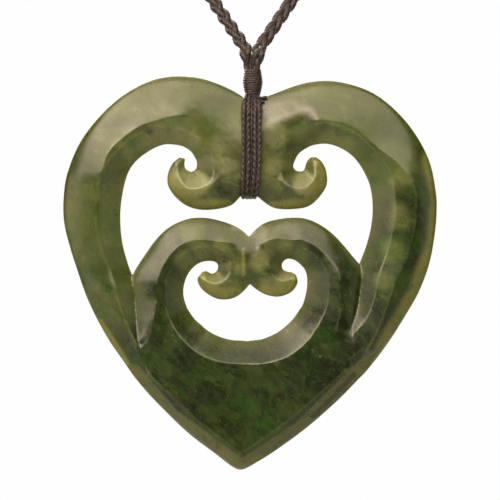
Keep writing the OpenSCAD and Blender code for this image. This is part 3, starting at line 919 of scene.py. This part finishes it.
    def near(self, points: np.ndarray, places: Rows) -> np.ndarray:
        """How near each vertex is to any of a table's places, from 0 to each row's share.

        Args:
            points: Vertices in millimetres.
            places: Rows of middle x, middle z, reach and, where it has one, share.

        Returns:
            One value for each vertex.
        """
        values = np.zeros(len(points))
        for x, z, reach, share in ((*row, 1.0)[:4] for row in places):
            away = np.linalg.norm(points[:, [0, 2]] - np.array([x, z]), axis=1) / reach
            nearness = smooth_step(self.place_fade - self.place_fade * away)
            values = np.maximum(values, nearness * share)
        return values

    def thickness(self, mesh: Mesh, points: np.ndarray, normals: np.ndarray) -> np.ndarray:
        """Thickness of the stone from face to back at each vertex.

        Args:
            mesh: The stone's mesh.
            points: Its vertices in millimetres.
            normals: Normal of each vertex.

        Returns:
            Thickness in millimetres.
        """
        tree = BVHTree.FromPolygons(points.tolist(), [list(p.vertices) for p in mesh.polygons])
        values = np.full(len(points), self.edge_mm)
        for k, (x, _, z) in enumerate(points - self.inset_mm * normals):
            ahead = tree.ray_cast(Vector((x, -self.outside_mm, z)), Vector((0, 1, 0)))[0]
            behind = tree.ray_cast(Vector((x, self.outside_mm, z)), Vector((0, -1, 0)))[0]
            if ahead and behind:
                values[k] = behind.y - ahead.y
        return values

    def arrises(self, mesh: Mesh, points: np.ndarray, normals: np.ndarray) -> np.ndarray:
        """How sharply the stone bends outwards at each vertex.

        Args:
            mesh: The stone's mesh.
            points: Its vertices in millimetres.
            normals: Normal of each vertex.

        Returns:
            Values from 0 on a plain face to 1 on a sharp arris.
        """
        a, b = rows_of(mesh.edges, "vertices", int, 2).T
        n = len(points)
        reach = points[b] - points[a]
        bend = ((normals[b] - normals[a]) * reach).sum(1) / np.linalg.norm(reach, axis=1) ** 2
        count = np.bincount(a, minlength=n) + np.bincount(b, minlength=n)
        values = (np.bincount(a, bend, n) + np.bincount(b, bend, n)) / count
        for _ in range(self.arris_rounds):
            spread = np.bincount(a, values[b], n) + np.bincount(b, values[a], n)
            values = 0.5 * values + 0.5 * spread / count
        return np.clip((values - self.plain_bend) / self.arris_bend, 0, 1)

    def build(self) -> PendantFrame:
        """Makes the stone and sets it where the heart's node is.

        Returns:
            The pendant's frame, in which every other piece is placed.
        """
        stone = self.fused()
        mesh = stone.data
        points = coordinates(mesh)
        normals = directions(mesh)
        kept = {
            "thickness_mm": self.thickness(mesh, points, normals),
            # arris, pale and the two rim values carry painted highlight and painted light for the colour
            "arris": self.arrises(mesh, points, normals),
            "pale": self.near(points, self.pale),
            "green": self.near(points, self.green),
            "dirty": self.near(points, self.dirty),
            # rims painted with a glow, and lower rims painted lighter
            "lit_rim": self.beside(points, self.painted_glow_rims),
            "dull_rim": self.beside(points, self.painted_light_lower_rims),
            "dark_vein": self.beside(points, self.dark_veins),
        }
        for name, values in kept.items():
            keep_values(mesh, name, values)
        low, high = points.min(0), points.max(0)
        node_low, node_high = (np.array(corner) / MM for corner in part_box("heart"))
        scale = (node_high - node_low)[[0, 2]] / (high - low)[[0, 2]]
        points[:, [0, 2]] *= scale
        pendant = PendantFrame.from_nodes(self.back_h, -low[0] * scale[0], -low[2] * scale[1])
        set_coordinates(mesh, pendant.place(points))
        dress(stone, self.finish.material(), Slot.STONE, "heart")
        return pendant


# The cord and its lashing


@dataclass(frozen=True)
class WaxedThread:
    """Waxed polyester braiding thread, twisted from fine plies and drawn through wax.

    The wax gives it a dull purple-grey shine along the top of every ply, over a nearly black
    brown, with a few redder and more khaki fibres where the dye took differently. The purple-grey
    shine is partly painted into the colour as pale fibres, and the grooves between plies have
    painted shade.
    """

    name: str
    shade: str = "#110c0f"
    core: str = "#32262b"
    # pale fibres: partly pale wax, partly painted sheen of the wax
    pale_wax_and_painted_sheen: str = "#80707a"
    red: str = "#4a2b2c"
    khaki: str = "#423833"
    dye_share: float = 0.45
    roughness: float = 0.38
    wax: float = 0.4
    fibre_mm: float = 0.11
    fibre_bump_mm: float = 0.06
    tint_mm: float = 2.6
    # A fibre is long and thin, so its pattern is drawn out along the thread
    drawn_out: float = 0.12
    # Height of a ply under which it is painted darker, as shade in the grooves between plies, and how dark
    # that painted shade gets
    groove_top: float = 0.45
    painted_groove_shade_share: float = 0.8

    def material(self) -> Material:
        """Builds the thread's node material.

        Returns:
            The material.
        """
        material, tree = new_material(self.name)
        lay = {"Vector": add_node(tree, "Attribute", {"attribute_name": "fibre_mm"}).outputs["Vector"]}
        stretch = {"Scale": (1.0, 1.0, self.drawn_out)}
        long_lay = {"Vector": add_node(tree, "Mapping", stretch, lay).outputs["Vector"]}
        fine = {"Scale": 1.0 / self.fibre_mm, "Detail": 2.0, "Roughness": 0.55}
        fibres = add_node(tree, "TexNoise", fine, long_lay).outputs["Fac"]
        # fibres from dark to pale, the pale end partly painted sheen of the wax
        greys = {"ramp": ((0.30, self.shade), (0.50, self.core), (0.72, self.pale_wax_and_painted_sheen))}
        base = add_node(tree, "ValToRGB", greys, {"Fac": fibres}).outputs["Color"]
        broad = {"Scale": 1.0 / self.tint_mm, "Detail": 3.0, "Roughness": 0.6}
        tints = add_node(tree, "TexNoise", broad, lay).outputs["Fac"]
        dyes = {"ramp": ((0.34, self.red), (0.46, self.core), (0.56, self.core), (0.68, self.khaki))}
        dyed = add_node(tree, "ValToRGB", dyes, {"Fac": tints}).outputs["Color"]
        blend = {"data_type": "RGBA", 0: self.dye_share}
        tinted = add_node(tree, "Mix", blend, {6: base, 7: dyed}).outputs[2]
        # painted shade in the grooves between plies
        height = add_node(tree, "Attribute", {"attribute_name": "ply_height"}).outputs["Fac"]
        span = {"From Min": self.groove_top, "From Max": 0.0, "To Max": self.painted_groove_shade_share}
        painted_groove_shade = add_node(tree, "MapRange", span, {"Value": height}).outputs["Result"]
        over = {"data_type": "RGBA", 7: linear(self.shade)}
        colour = add_node(tree, "Mix", over, {0: painted_groove_shade, 6: tinted}).outputs[2]
        relief = {"Strength": 0.7, "Distance": self.fibre_bump_mm * MM}
        bump = add_node(tree, "Bump", relief, {"Height": fibres}).outputs["Normal"]
        waxed = {
            "IOR": 1.45,
            "Roughness": self.roughness,
            "Coat Weight": self.wax,
            "Coat Roughness": 0.3,
            "Sheen Weight": 0.1,
            "Sheen Roughness": 0.4,
        }
        shader = add_node(tree, "BsdfPrincipled", waxed, {"Base Color": colour, "Normal": bump})
        add_node(tree, "OutputMaterial", {}, {"Surface": shader.outputs["BSDF"]})
        return material


class Hand(Enum):
    """Hand of a thread's twist."""

    Z = 1
    S = -1


@dataclass(frozen=True)
class TwistedThread:
    """Section of a thread laid up from plies: their number, how deep they show and their lay."""

    plies: int = 3
    ply_depth: float = 0.16
    lay_mm: float = 1.7
    hand: Hand = Hand.Z
    sides: int = 16

    def mesh(self, name: str, line: np.ndarray, start: float = 0.0) -> Object:
        """Sweeps the thread along its middle line.

        Args:
            name: Name of the piece.
            line: One row for each ring, with its place in pendant millimetres and its radius;
                further columns aren't read.
            start: Angle of the first ply at the first ring, in radians.

        Returns:
            The thread, still in pendant millimetres, with its fibre directions kept.
        """
        centres, radii = line[:, :3], line[:, 3]
        ahead = headings(centres)
        side = np.cross(ahead[0], ASIDE)
        side /= np.linalg.norm(side)
        sides = np.empty_like(centres)
        for k, direction in enumerate(ahead):
            side = side - direction * float(side @ direction)
            side = side / np.linalg.norm(side)
            sides[k] = side
        ups = np.cross(ahead, sides)
        run = distances(centres)
        angle = np.linspace(0, 2 * math.pi, self.sides, endpoint=False)[None, :]
        turned = angle - self.hand.value * (2 * math.pi * run / self.lay_mm)[:, None] + start
        height = np.abs(np.cos(turned * self.plies / 2))
        radius = radii[:, None] * (1 - self.ply_depth * (1 - height))
        offset = sides[:, None, :] * np.cos(angle)[..., None] + ups[:, None, :] * np.sin(angle)[..., None]
        points = (centres[:, None, :] + offset * radius[..., None]).reshape(-1, 3)
        thread = new_object(name, points, tube_faces(len(centres), self.sides))
        runs = np.repeat(run[:, None], self.sides, 1)
        lay = np.stack([np.cos(turned) * radius, np.sin(turned) * radius, runs], axis=-1)
        keep_values(thread.data, "fibre_mm", lay.reshape(-1, 3))
        keep_values(thread.data, "ply_height", height.ravel())
        return thread


@dataclass
class CordPart:
    """Part of the cord, worked out in pendant millimetres and set in the pendant's frame."""

    pendant: PendantFrame

    def settle(self, thread: Object, material: Material, slot: Slot, *nodes: str) -> None:
        """Moves a thread from pendant millimetres into the frame and dresses it."""
        set_coordinates(thread.data, self.pendant.place(coordinates(thread.data)))
        dress(thread, material, slot, *nodes)


@dataclass
class NeckPlait(CordPart):
    """The neck cord: three waxed strands in a flat plait, round the neck and back."""

    neck_r: float = 75.0
    leg_angle_deg: float = 26.4
    lean_back_deg: float = 40.0
    apex: tuple[float, float] = (0.35, 28.7)
    leg_start: float = 2.6
    strands: int = 3
    strand_r: float = 0.54
    swing: float = 0.52
    weave_depth: float = 0.3
    period: float = 7.8
    step: float = 0.22
    # Knots of the middle line on a leg and on the arc, and points between two knots
    leg_knots: int = 60
    arc_knots: int = 240
    points_between: int = 12
    # Places where the legs are squeezed together: out from the middle, depth, height, and
    # the share of the plait's full size
    gathered: Rows = (
        (0.30, 0.36, 26.3, 0.55), (0.44, 0.42, 27.1, 0.74), (0.66, 0.60, 28.4, 0.92),
        (0.92, 0.62, 29.5, 1.0),
    )
    section: TwistedThread = TwistedThread()
    finish: WaxedThread = WaxedThread("waxed_polyester_plait")

    def on_plane(self, x: np.ndarray, up: np.ndarray) -> np.ndarray:
        """Points of the leaning plane of the loop, from their place across and up it."""
        lean = math.radians(self.lean_back_deg)
        return np.stack([x + self.apex[0], up * math.sin(lean), up * math.cos(lean) + self.apex[1]], axis=1)

    def middle_line(self) -> np.ndarray:
        """Middle line of the whole cord, from end to end.

        Returns:
            Rows of x, y, z and the share of the plait's full size.
        """
        spread = math.radians(self.leg_angle_deg)
        leg, rise = self.neck_r / math.tan(spread), self.neck_r / math.sin(spread)
        half = math.pi / 2 + spread
        out = np.linspace(self.leg_start, leg, self.leg_knots)
        turn = np.linspace(-half, half, self.arc_knots)[1:-1]
        left = self.on_plane(-out * math.sin(spread), out * math.cos(spread))
        arc = self.on_plane(self.neck_r * np.sin(turn), rise + self.neck_r * np.cos(turn))
        right = self.on_plane(out[::-1] * math.sin(spread), out[::-1] * math.cos(spread))
        whole = np.concatenate([left, arc, right])
        whole = np.concatenate([whole, np.ones((len(whole), 1))], axis=1)
        ends, middle = np.array(self.gathered), np.array([self.apex[0], 0, 0, 0])
        first, last = middle + ends * (-1, 1, 1, 1), middle + ends * (1, -1, 1, 1)
        knots = np.concatenate([first, whole, last[::-1]])
        return curve_through(knots, self.points_between * len(knots))

    def build(self) -> None:
        """Makes the three strands."""
        line = evenly(self.middle_line(), self.step)
        centre, share, run = line[:, :3], line[:, 3], line[:, 4]
        ahead = headings(centre)
        lean = math.radians(self.lean_back_deg)
        across = np.cross(ahead, np.array([0.0, -math.cos(lean), math.sin(lean)]))
        across /= np.linalg.norm(across, axis=1)[:, None]
        out = np.cross(across, ahead)
        material = self.finish.material()
        for k in range(self.strands):
            phase = 2 * math.pi * (run / self.period + k / self.strands)
            swing = self.swing * share * np.sin(phase)
            depth = self.weave_depth * share * np.sin(2 * phase)
            path = centre + across * swing[:, None] + out * depth[:, None]
            rings = np.column_stack([path, self.strand_r * share])
            strand = self.section.mesh(f"plait_strand_{k + 1}", rings, start=k)
            self.settle(strand, material, Slot.PLAIT, "neck_plait")


@dataclass
class Whipping(CordPart):
    """Fine turns of waxed thread that gather the two legs above the heart."""

    middle_x: float = 0.42
    # Columns: height, radius
    barrel: Rows = (
        (23.1, 1.05), (23.7, 1.2), (24.4, 1.38), (25.2, 1.48), (26.0, 1.37), (26.6, 1.28), (27.15, 1.2),
    )
    turns: int = 11
    points_per_turn: int = 70
    step: float = 0.09
    thread_r: float = 0.225
    # Share of the thread's radius by which the winding lies inside the barrel
    sunk_share: float = 0.8
    # Uneven height of the turns. Columns: size, waves for each turn, start in radians
    wavers: Rows = ((0.05, 0.97, 1.0), (0.025, 2.3, 0.0))
    core_share: float = 0.86
    core_rings: int = 40
    section: TwistedThread = TwistedThread(plies=2, ply_depth=0.14, lay_mm=1.1, hand=Hand.S, sides=12)
    core_section: TwistedThread = TwistedThread(plies=6, ply_depth=0.1, lay_mm=9.0, sides=24)
    finish: WaxedThread = WaxedThread("waxed_polyester_whipping")

    def radius_at(self, height: np.ndarray) -> np.ndarray:
        """Outer radius of the barrel at each height."""
        table = np.array(self.barrel)
        return np.interp(height, table[:, 0], table[:, 1])

    def build(self) -> None:
        """Makes the winding and the core that it is wound on."""
        bottom, top = self.barrel[0][0], self.barrel[-1][0]
        low, high = bottom + self.thread_r, top - self.thread_r
        turn = np.linspace(0, self.turns, self.turns * self.points_per_turn)
        angle = 2 * math.pi * turn
        height = low + (high - low) * turn / self.turns
        for size, waves, start in self.wavers:
            height = height + size * np.sin(waves * angle + start)
        height = np.clip(height, low, high)
        radius = self.radius_at(height) - self.sunk_share * self.thread_r
        x, y = self.middle_x + radius * np.cos(angle), radius * np.sin(angle)
        line = np.stack(np.broadcast_arrays(x, y, height, self.thread_r), axis=1)
        material = self.finish.material()
        winding = self.section.mesh("whipping_turns", evenly(line, self.step))
        self.settle(winding, material, Slot.THREAD, "whipping")
        height = np.linspace(bottom, top, self.core_rings)
        radius = (self.radius_at(height) - self.thread_r) * self.core_share
        line = np.stack(np.broadcast_arrays(self.middle_x, 0.0, height, radius), axis=1)
        core = self.core_section.mesh("gathered_legs", line)
        self.settle(core, material, Slot.THREAD, "whipping")


@dataclass
class Lashing(CordPart):
    """Four threads that bind the heart, round the bridge and up to the whipping."""

    # Columns: middle x, depth y, height z, share of the full spacing, radius of a thread
    route: Rows = (
        (0.42, -0.25, 23.7, 0.62, 0.24),
        (0.38, -0.75, 23.25, 0.70, 0.28),
        (0.32, -1.50, 22.75, 0.84, 0.31),
        (0.28, -2.25, 21.95, 0.96, 0.34),
        (0.26, -2.90, 20.8, 1.0, 0.35),
        (0.25, -3.15, 18.8, 1.0, 0.35),
        (0.25, -3.30, 16.5, 1.0, 0.35),
        (0.25, -3.35, 14.0, 1.0, 0.35),
        (0.20, -3.35, 12.0, 0.98, 0.35),
        (0.10, -3.27, 10.3, 0.96, 0.35),
        (0.00, -2.95, 9.0, 0.90, 0.34),
        (-0.10, -2.00, 8.2, 0.80, 0.32),
        (-0.15, -0.90, 7.95, 0.75, 0.29),
        (-0.15, 0.00, 7.88, 0.74, 0.28),
        (-0.15, 0.90, 7.95, 0.75, 0.29),
        (-0.10, 1.90, 8.4, 0.80, 0.28),
        (0.00, 2.46, 9.5, 0.85, 0.26),
        (0.15, 2.56, 11.0, 0.92, 0.29),
        (0.25, 2.56, 13.0, 1.0, 0.32),
        (0.25, 2.56, 16.0, 1.0, 0.32),
        (0.25, 2.50, 18.6, 1.0, 0.32),
        (0.26, 2.30, 20.4, 1.0, 0.32),
        (0.28, 1.90, 21.8, 0.95, 0.30),
        (0.32, 1.15, 22.65, 0.79, 0.23),
        (0.36, 0.50, 23.2, 0.62, 0.20),
        (0.40, 0.25, 23.9, 0.55, 0.17),
    )
    # Distance of each thread from the middle: they lie in two close pairs
    places: tuple[float, ...] = (-1.17, -0.51, 0.53, 1.13)
    # Power of the spacing's share for the inner threads, which close up sooner
    closing: float = 1.6
    plump: float = 1.07
    # Filler between the pairs, front only. Columns: x, y, z, radius
    filler: Rows = (
        (0.42, -0.20, 23.5, 0.5),
        (0.36, -0.75, 23.0, 0.45),
        (0.30, -1.45, 22.4, 0.4),
        (0.26, -2.15, 21.6, 0.32),
        (0.26, -2.75, 20.6, 0.28),
        (0.26, -3.00, 18.8, 0.26),
        (0.26, -3.10, 16.5, 0.26),
        (0.26, -3.12, 14.0, 0.26),
        (0.21, -3.12, 12.0, 0.26),
        (0.11, -3.02, 10.3, 0.26),
        (0.01, -2.65, 9.2, 0.32),
        (-0.08, -1.90, 8.4, 0.38),
        (-0.12, -0.90, 8.1, 0.42),
        (-0.12, 0.00, 8.02, 0.42),
    )
    step: float = 0.08
    points_between: int = 40
    filler_points: int = 200
    # Turn from each thread's first ply to the next thread's, in radians
    start_turn: float = 0.5
    section: TwistedThread = TwistedThread(plies=2, ply_depth=0.3, lay_mm=1.9)
    filler_section: TwistedThread = TwistedThread(plies=3, ply_depth=0.12, lay_mm=2.4)
    finish: WaxedThread = WaxedThread("waxed_polyester_lashing")

    def build(self) -> None:
        """Makes the four threads, the two of a pair twisted opposite ways, and the filler."""
        x, y, z, spacing, radius = curve_through(self.route, self.points_between * len(self.route)).T
        material = self.finish.material()
        for number, place in enumerate(self.places, start=1):
            inner = place not in (min(self.places), max(self.places))
            share = spacing ** (self.closing if inner else 1.0)
            line = evenly(np.stack([x + place * share, y, z, radius], axis=1), self.step)
            line[:, 3] *= self.plump
            section = replace(self.section, hand=Hand.S if number % 2 else Hand.Z)
            thread = section.mesh(f"lashing_{number}", line, start=self.start_turn * number)
            self.settle(thread, material, Slot.THREAD, f"lashing_thread_{number}")
        line = evenly(curve_through(self.filler, self.filler_points), self.step)
        under = self.filler_section.mesh("lashing_filler", line)
        self.settle(under, material, Slot.THREAD, "lashing_thread_2", "lashing_thread_3")


@dataclass
class CutTail(CordPart):
    """Two short cut ends of the whipping thread beside the notch."""

    # Columns: x, y, z, radius
    ends: tuple[Rows, ...] = (
        (
            (1.05, -1.0, 22.95, 0.2),
            (1.66, -1.32, 22.74, 0.24),
            (2.1, -1.55, 22.8, 0.25),
            (2.5, -1.7, 22.92, 0.2),
        ),
        (
            (1.2, -1.5, 22.7, 0.16),
            (1.55, -1.75, 22.35, 0.2),
            (1.85, -1.85, 22.2, 0.21),
            (2.12, -1.9, 22.3, 0.17),
        ),
    )
    points: int = 60
    step: float = 0.06
    section: TwistedThread = TwistedThread(plies=2, ply_depth=0.16, lay_mm=1.1, hand=Hand.S, sides=14)
    finish: WaxedThread = WaxedThread("waxed_polyester_end")

    def build(self) -> None:
        """Makes both ends."""
        material = self.finish.material()
        for number, table in enumerate(self.ends, start=1):
            line = evenly(curve_through(table, self.points), self.step)
            end = self.section.mesh(f"cut_end_{number}", line)
            self.settle(end, material, Slot.THREAD, "thread_tail")


# The studio


@dataclass(frozen=True)
class SoftLight:
    """A softbox: its offset from the heart and its size in metres, its watts and its colour."""

    name: str
    offset: tuple[float, float, float]
    width: float
    height: float
    watts: float
    tone: str


@dataclass
class Studio:
    """Pale floor, soft overhead light and the camera, which looks straight at the carved face."""

    view_width_mm: float = 75.0
    camera_distance_mm: float = 600.0
    sensor_mm: float = 36.0
    clip_m: tuple[float, float] = (0.01, 20.0)
    floor_below_mm: float = 110.0
    floor_half_mm: float = 1600.0
    floor_squares: int = 24
    # Share of the half width that the rolled edge takes up, and how far it rolls down
    rolled_share: float = 0.1
    rolled_mm: float = 10.0
    card_grain_mm: float = 3.0
    card_bump_mm: float = 0.3
    backdrop: str = "#fefefe"
    floor_tone: str = "#acb0a8"
    floor_glow: float = 0.62
    room_tone: str = "#fff3df"
    room_light: float = 0.03
    lights: tuple[SoftLight, ...] = (
        SoftLight("key_softbox", (-0.24, -0.36, 0.30), 0.44, 0.40, 1.8, "#fbe9cc"),
        SoftLight("top_softbox", (0.16, -0.38, 0.34), 0.44, 0.36, 1.15, "#f9eeca"),
        SoftLight("high_softbox", (-0.05, 0.00, 0.50), 0.60, 0.44, 0.9, "#fbe9cc"),
        SoftLight("left_softbox", (-0.51, -0.25, 0.00), 0.34, 0.36, 0.46, "#fbe9cc"),
        SoftLight("right_softbox", (0.52, -0.10, 0.02), 0.34, 0.44, 0.29, "#f6eec4"),
        SoftLight("shoulder_softbox", (-0.36, -0.30, 0.34), 0.26, 0.24, 0.30, "#fbe9cc"),
        SoftLight("crest_softbox", (-0.13, -0.50, 0.22), 0.22, 0.07, 0.40, "#ffe6cc"),
        SoftLight("low_fill", (0.03, -0.32, -0.40), 0.50, 0.30, 0.8, "#f4e4b4"),
        SoftLight("band_fill", (0.0, -0.55, -0.15), 0.44, 0.10, 0.25, "#f0e4a8"),
        SoftLight("back_softbox", (-0.20, 0.44, 0.30), 0.50, 0.40, 2.4, "#fff6e6"),
        SoftLight("back_glow", (0.12, 0.50, 0.05), 0.50, 0.40, 0.7, "#fff6e6"),
    )

    def soft_light(self, light: SoftLight, aim: Vector) -> None:
        """Adds one soft rectangular light.

        Args:
            light: Its place, size, strength and colour.
            aim: Point that it faces, in metres.
        """
        lamp = bpy.data.lights.new(light.name, "AREA")
        lamp.shape, lamp.size, lamp.size_y = "RECTANGLE", light.width, light.height
        lamp.energy, lamp.color = light.watts, linear(light.tone)[:3]
        made = bpy.data.objects.new(light.name, lamp)
        made.location = aim + Vector(light.offset)
        made.rotation_euler = (-Vector(light.offset)).to_track_quat("-Z", "Y").to_euler()
        bpy.context.scene.collection.objects.link(made)

    def card(self) -> Material:
        """Builds the floor's material, which is seen brighter than it lights.

        Returns:
            The material.
        """
        material, tree = new_material("matt_studio_card")
        place = {"Vector": add_node(tree, "TexCoord").outputs["Object"]}
        fine = {"Scale": per_metre(self.card_grain_mm), "Detail": 3.0}
        grain = {"Height": add_node(tree, "TexNoise", fine, place).outputs["Fac"]}
        relief = {"Strength": 0.1, "Distance": self.card_bump_mm * MM}
        bump = {"Normal": add_node(tree, "Bump", relief, grain).outputs["Normal"]}
        plain = {"Base Color": linear(self.floor_tone), "Roughness": 0.85}
        glow = {"Emission Color": linear(self.backdrop), "Emission Strength": self.floor_glow}
        links = {0: add_node(tree, "LightPath").outputs["Is Camera Ray"]}
        for number, settings in enumerate((plain, {**plain, **glow}), start=1):
            links[number] = add_node(tree, "BsdfPrincipled", settings, bump).outputs["BSDF"]
        both = add_node(tree, "MixShader", {}, links).outputs["Shader"]
        add_node(tree, "OutputMaterial", {}, {"Surface": both})
        return material

    def floor(self, height: float) -> None:
        """Lays the pale floor, a sheet with a gently rolled edge.

        Args:
            height: Its height in metres.
        """
        half, n = self.floor_half_mm * MM, self.floor_squares + 1
        line = np.linspace(-half, half, n)
        x, y = np.meshgrid(line, line, indexing="ij")
        flat, rolled = (1 - self.rolled_share) * half, self.rolled_share * half
        reach = np.clip((np.maximum(np.abs(x), np.abs(y)) - flat) / rolled, 0, 1)
        points = np.stack([x, y, height - self.rolled_mm * MM * reach**2], axis=-1).reshape(-1, 3)
        corners = [i * n + j for i in range(n - 1) for j in range(n - 1)]
        faces = [[corner, corner + n, corner + n + 1, corner + 1] for corner in corners]
        floor = new_object("studio_floor", points, faces)
        floor.data.materials.append(self.card())

    def world(self) -> None:
        """Sets a pale surround that is seen bright but lights the stone only a little."""
        world = bpy.data.worlds.new("pale_surround")
        bpy.context.scene.world = world
        world.use_nodes = True
        tree = world.node_tree
        tree.nodes.clear()
        links = {0: add_node(tree, "LightPath").outputs["Is Camera Ray"]}
        shades = ((self.room_tone, self.room_light), (self.backdrop, 1.0))
        for number, (tone, strength) in enumerate(shades, start=1):
            shade = {"Color": linear(tone), "Strength": strength}
            links[number] = add_node(tree, "Background", shade).outputs["Background"]
        both = add_node(tree, "MixShader", {}, links).outputs["Shader"]
        add_node(tree, "OutputWorld", {}, {"Surface": both})

    def build(self, pendant: PendantFrame) -> None:
        """Makes the surround, the lights and the camera.

        Args:
            pendant: The pendant's frame.
        """
        scene = bpy.context.scene
        scene.view_settings.view_transform = "Standard"
        zero = Vector(pendant.zero * MM)
        self.world()
        self.floor(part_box("heart")[0].z - self.floor_below_mm * MM)
        for light in self.lights:
            self.soft_light(light, zero)
        lens = bpy.data.cameras.new("camera")
        lens.sensor_width = self.sensor_mm
        lens.lens = self.sensor_mm * self.camera_distance_mm / self.view_width_mm
        lens.clip_start, lens.clip_end = self.clip_m
        camera = bpy.data.objects.new("camera", lens)
        camera.location = zero + Vector((0.0, -self.camera_distance_mm * MM, 0.0))
        camera.rotation_euler = (math.radians(90), 0.0, 0.0)
        scene.collection.objects.link(camera)
        scene.camera = camera


def main() -> None:
    """Builds every sub-assembly in the order in which the real one is made."""
    logging.basicConfig(level=logging.INFO, format="%(name)s: %(message)s")
    pendant = CarvedHeart().build()
    Studio().build(pendant)
    for part in (Lashing, Whipping, CutTail, NeckPlait):
        part(pendant).build()


if __name__ == "__main__":
    main()
